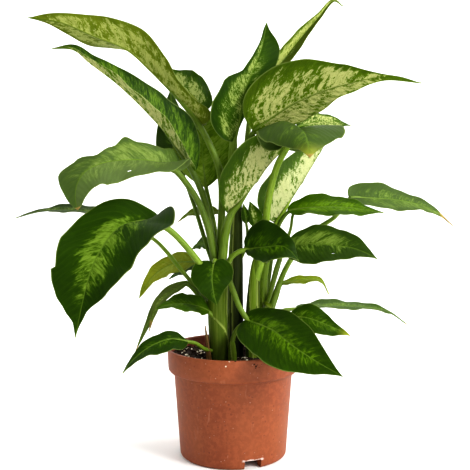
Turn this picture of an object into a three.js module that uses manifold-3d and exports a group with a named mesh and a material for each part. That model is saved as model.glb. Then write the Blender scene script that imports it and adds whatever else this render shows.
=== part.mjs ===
// A dieffenbachia in its nursery pot: several leafy canes in one pot of soil.
// Millimetres, +Z up. The origin is the middle of the pot's foot, X runs to the
// right of the front view and Y runs away from it.
import * as THREE from 'three';
import Module from 'manifold-3d';
import { mergeVertices } from 'three/addons/utils/BufferGeometryUtils.js';

const wasm = await Module();
wasm.setup();

// Driving dimensions
const POT_HEIGHT = 99;
const RIM_DIAMETER = 120;
const RIM_HEIGHT = 21;
const BODY_TOP_DIAMETER = 108;
const BODY_FOOT_DIAMETER = 97;
const WALL = 2;
const SOIL_BELOW_RIM = 10;
const BLADE_THICKNESS = 0.9;
const CLEARANCE = 0.3;

// Pot details worked out from the driving dimensions
const RIM_RADIUS = RIM_DIAMETER / 2;
const BODY_TOP_RADIUS = BODY_TOP_DIAMETER / 2;
const FOOT_RADIUS = BODY_FOOT_DIAMETER / 2;
const RIM_FOOT_Z = POT_HEIGHT - RIM_HEIGHT;
const SOIL_Z = POT_HEIGHT - SOIL_BELOW_RIM;
const FLOOR_Z = 5;
const POT_SIDES = 40;
const FLOOR_CHANNEL = { inner: 22, outer: 40, height: 2.5 };
const FOOT_NOTCH = { count: 6, width: 15, depth: 11, height: 2.5, turn: 0.37 };
const DRAIN = { count: 6, radius: 5, ring: 31, sides: 10 };
const SOIL_SIDES = 28;
const SOIL_GAP = 0.7;
const SOIL_LUMP = 0.7;
const CANE_DEPTH = 32;
const CANE_SIDES = 9;
const CANE_STEPS = 6;
const STALK_SIDES = 5;
const STALK_STEP = 22;
const STALK_TIP_RADIUS = 0.7;
const KEEL = [{ u: 0.3, drop: 0.2 }, { u: 0.14, drop: 0.55 }, { u: 0.02, drop: 0.75 }];
const HOLE_GAP = 0.35;
const LOBE_LENGTH = 0.3;
const LOBE_ROW = 0.02;
const BLADE_COLUMNS = [-1, -0.5, 0, 0.5, 1];
const ROW_LENGTH = 14;
const MARGIN_WIDTH = 0.8;
const PLAIN_RISE = 0.62;
const PLAIN_FALL = 1.15;
const PLAIN_WAVE = [1.2, 2.6, 0.4];

const COLORS = {
  pot: 0xb4613f,
  soil: 0x2b201a,
  cane: 0x5f7f2c,
  leaf: 0x3f7a24,
  paleLeaf: 0x9db35a,
};

function material(color, roughness) {
  return new THREE.MeshStandardMaterial({ color, roughness, metalness: 0 });
}

const MATERIALS = {
  pot: material(COLORS.pot, 0.55),
  soil: material(COLORS.soil, 0.95),
  cane: material(COLORS.cane, 0.5),
  leaf: material(COLORS.leaf, 0.4),
  paleLeaf: material(COLORS.paleLeaf, 0.4),
};

// Canes with their sheaths: places on the axis from the foot up, each with its radius
const CANES = {
  cane_main: [[-13, -12, 0, 7.5], [-13, -12, 100, 8.5], [-14, -12, 135, 8.8],
    [-14, -12, 165, 9.6], [-14, -12, 180, 7.5]],
  cane_tall: [[2, 10, 0, 7.4], [2, 10, 100, 7.6], [2, 11, 170, 7], [3, 12, 222, 5.5]],
  cane_right: [[18, 0, 0, 6.5], [18, 0, 100, 6.8], [18, 0, 135, 6.4], [20, 0, 180, 3.8]],
  cane_outer: [[28, 13, 0, 5.5], [28, 13, 100, 5.5], [28, 13, 150, 4.2]],
  cane_low: [[-1, -17, 0, 4], [-1, -17, 96, 4], [-1, -17, 107, 3]],
};

// Leaves. rib: the midrib from the base of the blade to its tip. left and right: the direction
// of each half along the rib, seen from the base with the upper side up. Of the left and the
// right half: width, curl upwards, lobe (how far it reaches back past its stalk), rise and fall
// (how its outline swells and narrows) and trim (shares of that outline along the rib). stalk:
// the way from the blade down into the cane. radii: of the stalk at the blade and at the cane.
const LEAVES = [
  {
    name: 'leaf_top_left_arching', pale: true,
    rib: [[-29, 5, 301], [-43, 8, 318], [-59, 7, 334], [-74, 4, 349], [-94, 0, 366],
      [-122, -4, 377], [-152, -6, 389], [-180, -6, 393]],
    left: [[0.9, -0.3, 0.3], [0.4, -0.85, 0.4], [0.6, -0.4, 0.7], [0.3, -0.3, 0.9],
      [0.1, -0.3, 0.95]],
    right: [[0.3, 0.9, 0.3], [0.2, 0.95, 0.2], [0.1, 0.85, -0.1], [0, 0.7, -0.5], [0, 0.6, -0.8]],
    width: [33, 28], curl: [0.1, 0.1], lobe: [8, 8],
    trim: [[1, 0.45, 0.6, 0.76, 0.82, 0.75, 1], [1, 1, 1, 1, 1, 1, 0.95, 0.6]],
    stalk: [[-23, 4, 286], [-15, 3, 268], [-11, 2, 252], [-10, 0, 234], [-11, -4, 205],
      [-12, -9, 182], [-13, -12, 165]],
    radii: [2.6, 3.6],
  },
  {
    name: 'leaf_left_folded',
    rib: [[-34, -4, 258], [-47, -10, 277], [-65, -18, 300], [-97, -26, 332], [-122, -30, 351],
      [-136, -31, 362], [-154, -32, 363]],
    left: [[0.3, -0.9, 0.1], [0.25, -0.9, 0.3], [0.2, -0.9, 0.3]],
    right: [[0.6, 0.4, 0.5], [0.45, 0.5, 0.65], [0.3, 0.5, 0.7]],
    width: [17, 22], curl: [0.1, 0.1],
    trim: [[1, 0.95, 0.9, 0.8, 0.7, 1], [1.08, 1.12, 0.88, 0.82, 0.86, 1]],
    stalk: [[-29, -4, 242], [-24, -6, 227], [-20, -8, 206], [-16, -11, 186], [-14, -12, 168]],
    radii: [2.4, 3.4],
  },
  {
    name: 'leaf_left_broad',
    rib: [[-48, -22, 259], [-63, -37, 266], [-82, -53, 268], [-104, -64, 266], [-119, -73, 259],
      [-125, -80, 249], [-126, -85, 238], [-124, -88, 228]],
    left: [[0.3, -0.1, 1], [0.2, -0.7, -0.4], [0.05, -0.65, -0.75], [0.3, -0.5, -0.8],
      [0.9, -0.3, -0.2]],
    right: [[0.3, 0.8, 0.3], [0, 0.6, 0.8], [-0.35, 0.5, 0.85], [-0.1, 0.6, 0.7],
      [-0.8, 0.4, 0.2], [-0.9, 0.2, -0.3]],
    width: [28, 28], curl: [0.1, 0.1], lobe: [14, 10], rise: [0.6, 0.6], fall: [0.7, 0.9],
    trim: [[1, 1, 0.9, 0.8, 0.76, 0.8, 0.9, 0.93, 0.92, 0.9, 1],
      [1, 1, 0.55, 0.65, 0.82, 0.5, 0.36, 0.7, 1.25, 1, 1]],
    stalk: [[-39, -18, 245], [-30, -16, 230], [-22, -16, 208], [-18, -15, 188], [-14, -12, 168]],
    radii: [2.4, 3.4],
  },
  {
    name: 'leaf_top_left_behind',
    rib: [[-30, 68, 318], [-42, 82, 332], [-56, 96, 343], [-67, 105, 353], [-77, 114, 362]],
    left: [[-0.3, -0.7, -0.5], [-0.3, -0.7, -0.5]],
    right: [[0.4, 0.3, 0.8], [0.4, 0.3, 0.8]],
    width: [10, 25], curl: [0.1, 0.1], lobe: [8, 8],
    trim: [[1, 1], [0.8, 0.78, 0.88, 1, 1, 1]],
    stalk: [[-14, 62, 298], [-6, 48, 264], [-1, 26, 232], [3, 12, 212]],
    radii: [1.8, 2.8],
  },
  {
    name: 'leaf_left_behind',
    rib: [[-46, 24, 254], [-53, 37, 275], [-58, 54, 305], [-61, 70, 338]],
    left: [[-1, 0, 0], [-1, 0, 0]],
    right: [[1, 0.2, 0], [1, 0.2, 0]],
    width: [18, 17], curl: [0.1, 0.1],
    stalk: [[-40, 20, 238], [-33, 10, 219], [-24, -2, 192], [-15, -11, 168]],
    radii: [1.6, 2.2],
  },
  {
    name: 'leaf_centre_behind',
    rib: [[-25, 20, 243], [-28, 25, 269], [-28, 31, 297], [-27, 36, 316]],
    left: [[-1, 0.1, 0], [-1, 0.1, 0]],
    right: [[1, 0.1, 0], [1, 0.1, 0]],
    width: [28, 32], curl: [0.1, 0.1], rise: [0.9, 0.9], fall: [0.8, 0.8],
    stalk: [[-22, 16, 230], [-18, 10, 212], [-15, 0, 192], [-13, -10, 170]],
    radii: [1.8, 2.6],
  },
  {
    name: 'leaf_top_upright',
    rib: [[1, 3, 285], [5, 0, 300], [8, -3, 314], [11, -6, 330], [18, -6, 348], [25, -4, 366],
      [30, 2, 390]],
    left: [[-0.8, -0.3, -0.35], [-0.9, -0.25, 0.1], [-0.9, -0.2, 0.2]],
    right: [[0.8, 0.3, 0.1], [0.9, 0.2, 0]],
    width: [29, 20], curl: [0.1, 0.1], lobe: [2, 2], rise: [0.45, 2], fall: [0.8, 0.7],
    trim: [[1.1, 1.15, 1.05, 0.78, 0.32, 0.26, 0.2, 0.3], [1, 1, 1, 0.9, 0.85, 0.2]],
    stalk: [[-1, 5, 272], [-1, 9, 246], [2, 12, 225], [4, 12, 208]],
    radii: [3.2, 3.8],
  },
  {
    name: 'leaf_top_right_large', pale: true,
    rib: [[18, -14, 294], [36, -18, 306], [52, -22, 316], [79, -32, 327], [98, -38, 332],
      [123, -44, 337], [157, -50, 332]],
    left: [[-0.6, 0.2, 0.7], [-0.4, 0.25, 0.85], [-0.2, 0.3, 0.9]],
    right: [[0.3, -0.45, -0.6], [0.25, -0.55, -0.65], [0.1, -0.6, -0.6]],
    width: [37, 24], curl: [0.1, 0.1], lobe: [4, 1], rise: [0.5, 0.5], fall: [1.5, 1.2],
    trim: [[1, 1, 0.97, 0.78, 0.3, 0.9], [1, 0.95, 0.88, 0.68, 0.45, 0.8]],
    stalk: [[14, -8, 286], [8, 0, 273], [5, 8, 246], [4, 12, 215]],
    radii: [2, 3],
  },
  {
    name: 'leaf_top_narrow',
    rib: [[27, 31, 337], [47, 45, 362], [64, 59, 384], [82, 73, 406], [99, 86, 425],
      [109, 95, 422]],
    left: [[-0.6, -0.5, 0.6], [-0.6, -0.5, 0.6]],
    right: [[0.5, -0.6, -0.5], [0.5, -0.6, -0.5]],
    width: [11, 8], curl: [0.1, 0.1],
    trim: [[1, 1, 0.8, 0.6, 1], [1, 1, 0.8, 0.6, 1]],
    stalk: [[17, 25, 314], [12, 19, 278], [7, 16, 241], [4, 12, 215]],
    radii: [2, 3],
  },
  {
    name: 'leaf_centre_pale', pale: true,
    rib: [[-4, -14, 221], [8, -16, 234], [20, -16, 250], [31, -12, 264], [42, -6, 275],
      [56, 0, 283]],
    left: [[0.2, 0.95, 0.1], [0.2, 0.95, 0.1]],
    right: [[-0.7, -0.35, 0.6], [-0.6, -0.35, 0.7]],
    width: [26, 32], curl: [0.05, 0.05], rise: [0.5, 0.5], fall: [0.6, 0.6],
    stalk: [[-7, -18, 202], [-9, -17, 186], [-12, -13, 165]],
    radii: [3, 4.6],
  },
  {
    name: 'leaf_facing_front',
    rib: [[46, -30, 280], [51, -40, 289], [55, -56, 293], [58, -74, 289], [60, -86, 279],
      [61, -90, 269]],
    left: [[0.8, 0.5, 0.35], [0.95, 0.2, 0.05], [0.9, 0, -0.4]],
    right: [[-0.9, -0.1, 0.35], [-0.95, 0, -0.2], [-0.9, -0.1, -0.5]],
    width: [40, 34], curl: [-0.1, -0.1], lobe: [14, 14],
    stalk: [[39, -20, 264], [32, -12, 237], [29, -8, 213], [26, -4, 185], [20, 0, 158]],
    radii: [2.6, 4],
  },
  {
    name: 'leaf_right_behind', pale: true,
    rib: [[59, 28, 299], [79, 47, 305], [97, 65, 306], [116, 80, 303]],
    left: [[0, 0.6, 0.7], [0, 0.6, 0.7]],
    right: [[0, -0.6, -0.7], [0, -0.6, -0.7]],
    width: [9.5, 12], curl: [0.1, 0.1],
    stalk: [[45, 24, 273], [36, 19, 248], [32, 14, 223], [28, 9, 196], [21, 2, 165]],
    radii: [1.6, 2.2],
  },
  {
    name: 'leaf_right_pale', pale: true,
    rib: [[39, 22, 210], [48, 20, 225], [57, 20, 239], [71, 24, 261], [90, 34, 292]],
    left: [[0.2, 0.95, 0.1], [0.2, 0.95, 0.1]],
    right: [[-0.75, -0.3, 0.5], [-0.75, -0.3, 0.5]],
    width: [26, 31], curl: [0.05, 0.05], rise: [0.6, 0.35], fall: [0.8, 0.8],
    trim: [[1, 1], [1, 1, 0.96, 0.9, 0.85, 0.85]],
    stalk: [[33, 18, 192], [30, 15, 174], [28, 13, 156], [28, 13, 138]],
    radii: [2.6, 4.3],
  },
  {
    name: 'leaf_right_middle',
    rib: [[50, 16, 222], [71, 18, 225], [105, 20, 225], [124, 22, 222], [140, 24, 220]],
    left: [[0, 0.8, 0.5], [0, 0.8, 0.5]],
    right: [[0, -0.8, -0.5], [0, -0.8, -0.5]],
    width: [18, 19], curl: [0.1, 0.1],
    trim: [[1, 1], [1, 0.65, 0.8, 1, 1, 1]],
    stalk: [[43, 17, 210], [37, 20, 186], [33, 19, 158], [29, 14, 130]],
    radii: [1.6, 2.2],
  },
  {
    name: 'leaf_right_middle_behind',
    rib: [[56, 36, 218], [71, 49, 222], [92, 65, 222], [111, 80, 217]],
    left: [[0, 0.8, 0.5], [0, 0.8, 0.5]],
    right: [[0, -0.8, -0.4], [0, -0.8, -0.4]],
    width: [11, 11], curl: [0.1, 0.1],
    stalk: [[54, 32, 204], [46, 29, 180], [37, 24, 150], [29, 14, 122]],
    radii: [1.3, 1.8],
  },
  {
    name: 'leaf_far_right',
    rib: [[113, 59, 233], [144, 73, 231], [176, 88, 227], [204, 100, 218], [227, 110, 202]],
    left: [[0, 0.7, 0.65], [0, 0.7, 0.65]],
    right: [[0, -0.8, -0.45], [0, -0.8, -0.45]],
    width: [21, 21], curl: [0.1, 0.1], lobe: [4, 3], rise: [0.7, 0.6], fall: [1.5, 1.5],
    trim: [[1.25, 0.95, 0.72, 0.7, 1], [1, 1]],
    stalk: [[96, 43, 214], [80, 36, 204], [61, 27, 185], [50, 20, 170], [38, 13, 142],
      [30, 12, 112]],
    radii: [1.8, 2.8],
  },
  {
    name: 'leaf_centre_right_dark',
    rib: [[12, -20, 190], [28, -34, 193], [44, -44, 194], [56, -48, 183]],
    left: [[-0.1, 0.5, 0.8], [0, 0.5, 0.8]],
    right: [[0, -0.85, -0.5], [0, -0.85, -0.5]],
    width: [25, 24], curl: [0.1, 0.1], lobe: [6, 2],
    trim: [[1, 1, 0.92, 0.65, 0.6], [0.3, 0.52, 0.75, 1.3, 2.9, 2.5]],
    stalk: [[6, -20, 188], [-2, -19, 182], [-6, -17, 170], [-12, -13, 152]],
    radii: [2, 2.8],
  },
  {
    name: 'leaf_right_dark',
    rib: [[46, -4, 191], [64, -14, 194], [85, -26, 194], [105, -38, 192], [122, -50, 185]],
    left: [[0, 0.75, 0.6], [0, 0.75, 0.6]],
    right: [[0, -0.75, -0.6], [0, -0.75, -0.6]],
    width: [21, 25], curl: [0.1, 0.1],
    stalk: [[40, 0, 173], [35, 4, 152], [29, 12, 130]],
    radii: [1.8, 2.4],
  },
  {
    name: 'leaf_front_left_large',
    rib: [[-69, -39, 217], [-94, -60, 213], [-111, -80, 189], [-116, -88, 173], [-126, -95, 126]],
    left: [[0.4, -0.35, 0.55], [0.8, -0.45, -0.05], [0.8, -0.45, -0.2], [0.75, -0.45, -0.35],
      [0.7, -0.45, -0.5], [0.75, -0.4, -0.4], [0.8, -0.35, -0.3], [0.85, -0.3, -0.1],
      [0.9, -0.2, 0.1]],
    right: [[-0.1, 0.75, 0.5], [-0.5, 0.4, 0.6], [-0.95, 0.2, 0]],
    width: [35, 35], curl: [0.1, 0.1], lobe: [15, 14], rise: [0.45, 0.8], fall: [1, 1],
    trim: [[1, 1.25, 1.1, 1, 1.12, 1, 0.4, 0.1], [1, 1, 0.93, 0.95, 0.92, 1.08, 0.85, 1]],
    stalk: [[-56, -36, 209], [-29, -29, 178], [-20, -21, 160], [-14, -13, 142]],
    radii: [2.4, 3.2],
  },
  {
    name: 'leaf_left_yellow', pale: true,
    rib: [[-34, 10, 175], [-54, 22, 173], [-74, 30, 161], [-84, 34, 148], [-90, 36, 137]],
    left: [[0, -0.6, -0.5], [0.2, -0.6, -0.5], [0.8, -0.2, 0]],
    right: [[0, 0.6, 0.6], [-0.2, 0.6, 0.6], [-0.8, 0.3, 0.2]],
    width: [14, 11], curl: [0.1, 0.1],
    trim: [[1, 1, 0.92, 0.75, 0.65, 1], [1, 1]],
    stalk: [[-26, 2, 163], [-19, -5, 147], [-14, -11, 130]],
    radii: [1.8, 2.4],
  },
  {
    name: 'leaf_left_small_dark',
    rib: [[-31, 32, 173], [-45, 38, 166], [-62, 44, 155]],
    left: [[0, -0.8, -0.5], [0, -0.8, -0.5]],
    right: [[0, 0.8, 0.5], [0, 0.8, 0.5]],
    width: [8, 8], curl: [0.1, 0.1],
    stalk: [[-22, 24, 165], [-8, 14, 148], [3, 10, 135]],
    radii: [1.2, 1.6],
  },
  {
    name: 'leaf_left_small_round',
    rib: [[-18, 30, 186], [-28, 36, 190], [-40, 42, 184]],
    left: [[0, -0.8, -0.5], [0, -0.8, -0.5]],
    right: [[0, 0.8, 0.5], [0, 0.8, 0.5]],
    width: [9, 9], curl: [0.1, 0.1],
    stalk: [[-10, 25, 177], [-2, 16, 162], [3, 11, 148]],
    radii: [1.2, 1.6],
  },
  {
    name: 'leaf_left_small_thin',
    rib: [[-13, 20, 220], [-26, 26, 221], [-40, 30, 219], [-52, 32, 211]],
    left: [[0, -0.8, -0.5], [0, -0.8, -0.5]],
    right: [[0, 0.8, 0.5], [0, 0.8, 0.5]],
    width: [7, 7], curl: [0.1, 0.1],
    stalk: [[-6, 17, 214], [4, 12, 198]],
    radii: [1.2, 1.6],
  },
  {
    name: 'leaf_far_left',
    rib: [[-112, 60, 205], [-137, 76, 216], [-164, 90, 219], [-198, 103, 217], [-225, 113, 210]],
    left: [[0, -0.95, -0.15], [0, -0.95, -0.15]],
    right: [[0, 0.9, 0.3], [0, 0.9, 0.3]],
    width: [15, 13], curl: [0.1, 0.1],
    stalk: [[-95, 42, 202], [-72, 20, 194], [-44, 2, 165], [-21, 5, 136], [0, 10, 115],
      [3, 10, 105]],
    radii: [1.5, 2.2],
  },
  {
    name: 'leaf_front_heart',
    rib: [[-17, -30, 178], [-18, -39, 168], [-17, -43, 157], [-14, -44, 144]],
    left: [[1, -0.1, 0.1], [1, -0.1, 0.1]],
    right: [[-1, -0.1, 0], [-1, -0.1, 0]],
    width: [19, 19], curl: [-0.1, -0.1], lobe: [8, 6],
    trim: [[1, 1, 0.95, 0.85, 0.78, 0.85], [1, 1, 0.95, 0.85, 0.78, 0.85]],
    stalk: [[-16, -26, 181], [-14, -20, 176], [-13, -13, 163]],
    radii: [1.6, 2],
  },
  {
    name: 'leaf_front_right_large',
    rib: [[12, -24, 128], [34, -48, 123], [51, -69, 113], [70, -84, 103], [88, -96, 95]],
    left: [[0.4, 0.3, 0.7], [0.4, 0.3, 0.7]],
    right: [[-0.45, -0.6, -0.6], [-0.45, -0.6, -0.6]],
    width: [22, 28], curl: [0.05, 0.05], lobe: [6, 6],
    trim: [[1, 0.87, 1, 1.14, 1.1, 1], [1, 1, 1, 1.18, 1.03, 1]],
    stalk: [[6, -22, 138], [1, -20, 150], [-4, -17, 162], [-12, -13, 170]],
    radii: [2.2, 2.8],
  },
  {
    name: 'leaf_low_right',
    rib: [[50, -2, 126], [65, -8, 127], [82, -14, 122], [104, -20, 113]],
    left: [[0.2, 0.6, 0.7], [0.2, 0.6, 0.7]],
    right: [[-0.2, -0.7, -0.6], [-0.2, -0.7, -0.6]],
    width: [14, 18], curl: [0.1, 0.1],
    trim: [[1, 1, 0.9, 0.6, 1], [1, 1]],
    stalk: [[28, -6, 128], [13, -12, 124], [3, -16, 117], [-1, -17, 104], [-1, -17, 94]],
    radii: [1.6, 2.2],
  },
  {
    name: 'leaf_low_right_thin',
    rib: [[60, 38, 128], [95, 58, 127], [127, 76, 123], [158, 92, 115], [180, 102, 100]],
    left: [[0, 0.99, 0.08], [0, 0.99, 0.08]],
    right: [[0, -0.95, -0.1], [0, -0.95, -0.1]],
    width: [15, 15], curl: [0.1, 0.1],
    stalk: [[46, 32, 126], [36, 22, 119], [29, 14, 108]],
    radii: [1.5, 2],
  },
  {
    name: 'leaf_right_small_thin', pale: true,
    rib: [[44, 18, 154], [63, 24, 157], [82, 28, 156], [91, 30, 142]],
    left: [[0, 0.8, 0.4], [0, 0.8, 0.4]],
    right: [[0, -0.8, -0.4], [0, -0.8, -0.4]],
    width: [5.5, 7], curl: [0.1, 0.1],
    stalk: [[41, 17, 142], [36, 16, 128], [29, 14, 114]],
    radii: [1.2, 1.6],
  },
  {
    name: 'leaf_low_left',
    rib: [[-40, -34, 111], [-54, -46, 115], [-70, -58, 111], [-82, -68, 103], [-91, -76, 93]],
    left: [[0, -0.8, -0.5], [0, -0.8, -0.5]],
    right: [[0, 0.8, 0.5], [0, 0.8, 0.5]],
    width: [14, 8.5], curl: [0.1, 0.1],
    stalk: [[-33, -30, 108], [-25, -22, 101], [-14, -13, 97]],
    radii: [1.4, 2],
  },
  {
    name: 'leaf_left_drooping', pale: true,
    rib: [[-42, 2, 159], [-57, -4, 152], [-67, -8, 142], [-75, -10, 125], [-88, -10, 97]],
    left: [[0.7, -0.5, -0.3], [0.7, -0.5, -0.3]],
    right: [[-0.7, 0.5, 0.3], [-0.7, 0.5, 0.3]],
    width: [4.6, 4.4], curl: [0.1, 0.1],
    stalk: [[-32, -2, 148], [-23, -8, 138], [-14, -12, 122]],
    radii: [1.4, 2],
  },
  {
    name: 'leaf_left_drooping_short', pale: true,
    rib: [[-41, -8, 158], [-57, -14, 150], [-66, -17, 142], [-71, -18, 131], [-75, -18, 116]],
    left: [[0.7, -0.5, -0.3], [0.7, -0.5, -0.3]],
    right: [[-0.7, 0.5, 0.3], [-0.7, 0.5, 0.3]],
    width: [4.6, 4.6], curl: [0.1, 0.1],
    stalk: [[-32, -10, 148], [-22, -14, 136], [-14, -12, 120]],
    radii: [1.4, 2],
  },
  {
    name: 'leaf_left_low_dark',
    rib: [[-21, -20, 135], [-31, -24, 140], [-45, -28, 143], [-57, -30, 142], [-68, -32, 138]],
    left: [[0, -0.85, -0.4], [0, -0.85, -0.4]],
    right: [[0, 0.85, 0.5], [0, 0.85, 0.5]],
    width: [13, 13], curl: [0.1, 0.1],
    stalk: [[-18, -18, 130], [-14, -13, 118]],
    radii: [1.8, 2.2],
  },
  {
    name: 'leaf_young_narrow',
    rib: [[12, 4, 211], [11, 4, 220], [9, 3, 229]],
    left: [[-1, 0, 0], [-1, 0, 0]],
    right: [[1, 0.2, 0], [1, 0.2, 0]],
    width: [4, 4], curl: [0.2, 0.2],
    stalk: [[13, 5, 202], [11, 7, 188], [4, 11, 172]],
    radii: [1.2, 1.6],
  },
  {
    name: 'leaf_young_folded', pale: true,
    rib: [[23, 9, 207], [19, 9, 220], [15, 8, 231]],
    left: [[-0.9, 0, -0.3], [-0.9, 0, -0.3]],
    right: [[0.9, 0.2, 0.3], [0.9, 0.2, 0.3]],
    width: [7, 7], curl: [0.2, 0.2],
    stalk: [[24, 9, 196], [23, 6, 180], [19, 1, 162]],
    radii: [1.2, 1.8],
  },
  {
    name: 'leaf_young_curled', pale: true,
    rib: [[27, 4, 132], [30, 1, 137], [37, 0, 133]],
    left: [[0, 0.8, 0.4], [0, 0.8, 0.4]],
    right: [[0, -0.8, -0.4], [0, -0.8, -0.4]],
    width: [4, 4], curl: [0.2, 0.2],
    stalk: [[27, 8, 128], [28, 13, 120]],
    radii: [1, 1.4],
  },
];

function vec(place) {
  return new THREE.Vector3(place[0], place[1], place[2]);
}

function clamp01(x) {
  return Math.min(1, Math.max(0, x));
}

// Value along a list of keys spread evenly over 0 to 1
function along(keys, u) {
  const place = clamp01(u) * (keys.length - 1);
  const index = Math.min(Math.floor(place), keys.length - 2);
  return vec(keys[index]).lerp(vec(keys[index + 1]), place - index);
}

// Number along a list of keys spread evenly over 0 to 1, eased from key to key
function between(keys, u) {
  const place = clamp01(u) * (keys.length - 1);
  const index = Math.min(Math.floor(place), keys.length - 2);
  const share = THREE.MathUtils.smoothstep(place - index, 0, 1);
  return keys[index] * (1 - share) + keys[index + 1] * share;
}

function solidOf(positions, triangles) {
  return new wasm.Manifold(new wasm.Mesh({
    numProp: 3,
    vertProperties: new Float32Array(positions),
    triVerts: new Uint32Array(triangles),
  }));
}

function solidOfGeometry(geometry) {
  const bare = geometry.index ? geometry.toNonIndexed() : geometry.clone();
  bare.deleteAttribute('normal');
  bare.deleteAttribute('uv');
  const merged = mergeVertices(bare, 1e-4);
  return solidOf(merged.attributes.position.array, merged.index.array);
}

function meshOf(name, solid, look) {
  const data = solid.getMesh();
  const geometry = new THREE.BufferGeometry();
  const positions = new Float32Array(data.vertProperties);
  geometry.setAttribute('position', new THREE.BufferAttribute(positions, 3));
  geometry.setIndex(new THREE.BufferAttribute(new Uint32Array(data.triVerts), 1));
  geometry.computeVertexNormals();
  const mesh = new THREE.Mesh(geometry, look);
  mesh.name = name;
  return mesh;
}

// A closed tube along points, each with its own radius
function tube(points, radii, sides) {
  const positions = [];
  const triangles = [];
  const side = new THREE.Vector3();
  points.forEach((point, k) => {
    const before = points[Math.max(k - 1, 0)];
    const after = points[Math.min(k + 1, points.length - 1)];
    const ahead = after.clone().sub(before).normalize();
    if (k === 0) {
      side.set(1, 0.2, 0.1);
    }
    side.addScaledVector(ahead, -side.dot(ahead)).normalize();
    const over = new THREE.Vector3().crossVectors(ahead, side);
    for (let s = 0; s < sides; s += 1) {
      const angle = (2 * Math.PI * s) / sides;
      const ring = point.clone();
      ring.addScaledVector(side, radii[k] * Math.cos(angle));
      ring.addScaledVector(over, radii[k] * Math.sin(angle));
      positions.push(ring.x, ring.y, ring.z);
    }
  });
  const last = points.length - 1;
  for (let k = 0; k < last; k += 1) {
    for (let s = 0; s < sides; s += 1) {
      const a = k * sides + s;
      const b = k * sides + ((s + 1) % sides);
      triangles.push(a, b, b + sides, a, b + sides, a + sides);
    }
  }
  for (let s = 1; s < sides - 1; s += 1) {
    triangles.push(0, s + 1, s);
    triangles.push(last * sides, last * sides + s, last * sides + s + 1);
  }
  return solidOf(positions, triangles);
}

// A cane from its foot in the soil to its tip, each place with its own radius
function cane(places, grow = 0) {
  const lifted = places.map(([x, y, z, r]) => [x, y, Math.max(z, SOIL_Z - CANE_DEPTH), r]);
  const curve = new THREE.CatmullRomCurve3(lifted.map(vec));
  const points = [];
  const sizes = [];
  for (let k = 0; k <= CANE_STEPS; k += 1) {
    const t = k / CANE_STEPS;
    const place = t * (lifted.length - 1);
    const index = Math.min(Math.floor(place), lifted.length - 2);
    const share = place - index;
    points.push(curve.getPoint(t));
    sizes.push(lifted[index][3] * (1 - share) + lifted[index + 1][3] * share + grow);
  }
  return tube(points, sizes, CANE_SIDES);
}

// Width of one half of a blade along its midrib, 1 at its widest before any trim
function outline(u, leaf, half) {
  const rise = leaf.rise ? leaf.rise[half] : PLAIN_RISE;
  const fall = leaf.fall ? leaf.fall[half] : PLAIN_FALL;
  const widest = rise / (rise + fall);
  const full = (u / widest) ** rise * ((1 - u) / (1 - widest)) ** fall;
  return leaf.trim ? full * between(leaf.trim[half], u) : full;
}

// A point of the blade's middle surface; v is -1 at the left margin and 1 at the right one
function bladePoint(leaf, curve, u, v) {
  const point = curve.getPointAt(u);
  const ahead = curve.getTangentAt(u);
  if (v === 0) {
    return point;
  }
  const isLeft = v < 0;
  const half = isLeft ? 0 : 1;
  const out = along(isLeft ? leaf.left : leaf.right, u);
  out.addScaledVector(ahead, -out.dot(ahead)).normalize();
  const up = new THREE.Vector3().crossVectors(isLeft ? ahead : out, isLeft ? out : ahead);
  const reach = Math.abs(v);
  const width = Math.max(leaf.width[half] * outline(u, leaf, half), MARGIN_WIDTH);
  const wave = leaf.wave ?? PLAIN_WAVE;
  const ripple = wave[0] * Math.sin(2 * Math.PI * (wave[1] * u + wave[2] + 0.37 * half));
  point.addScaledVector(out, width * reach);
  point.addScaledVector(up, width * leaf.curl[half] * reach ** 2);
  point.addScaledVector(up, ripple * reach ** 2 * Math.min(1, width / 10));
  if (leaf.lobe) {
    const share = Math.sqrt(Math.min(1, u / LOBE_LENGTH));
    point.addScaledVector(ahead, -4 * leaf.lobe[half] * reach * share * (1 - share));
  }
  return point;
}

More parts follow.
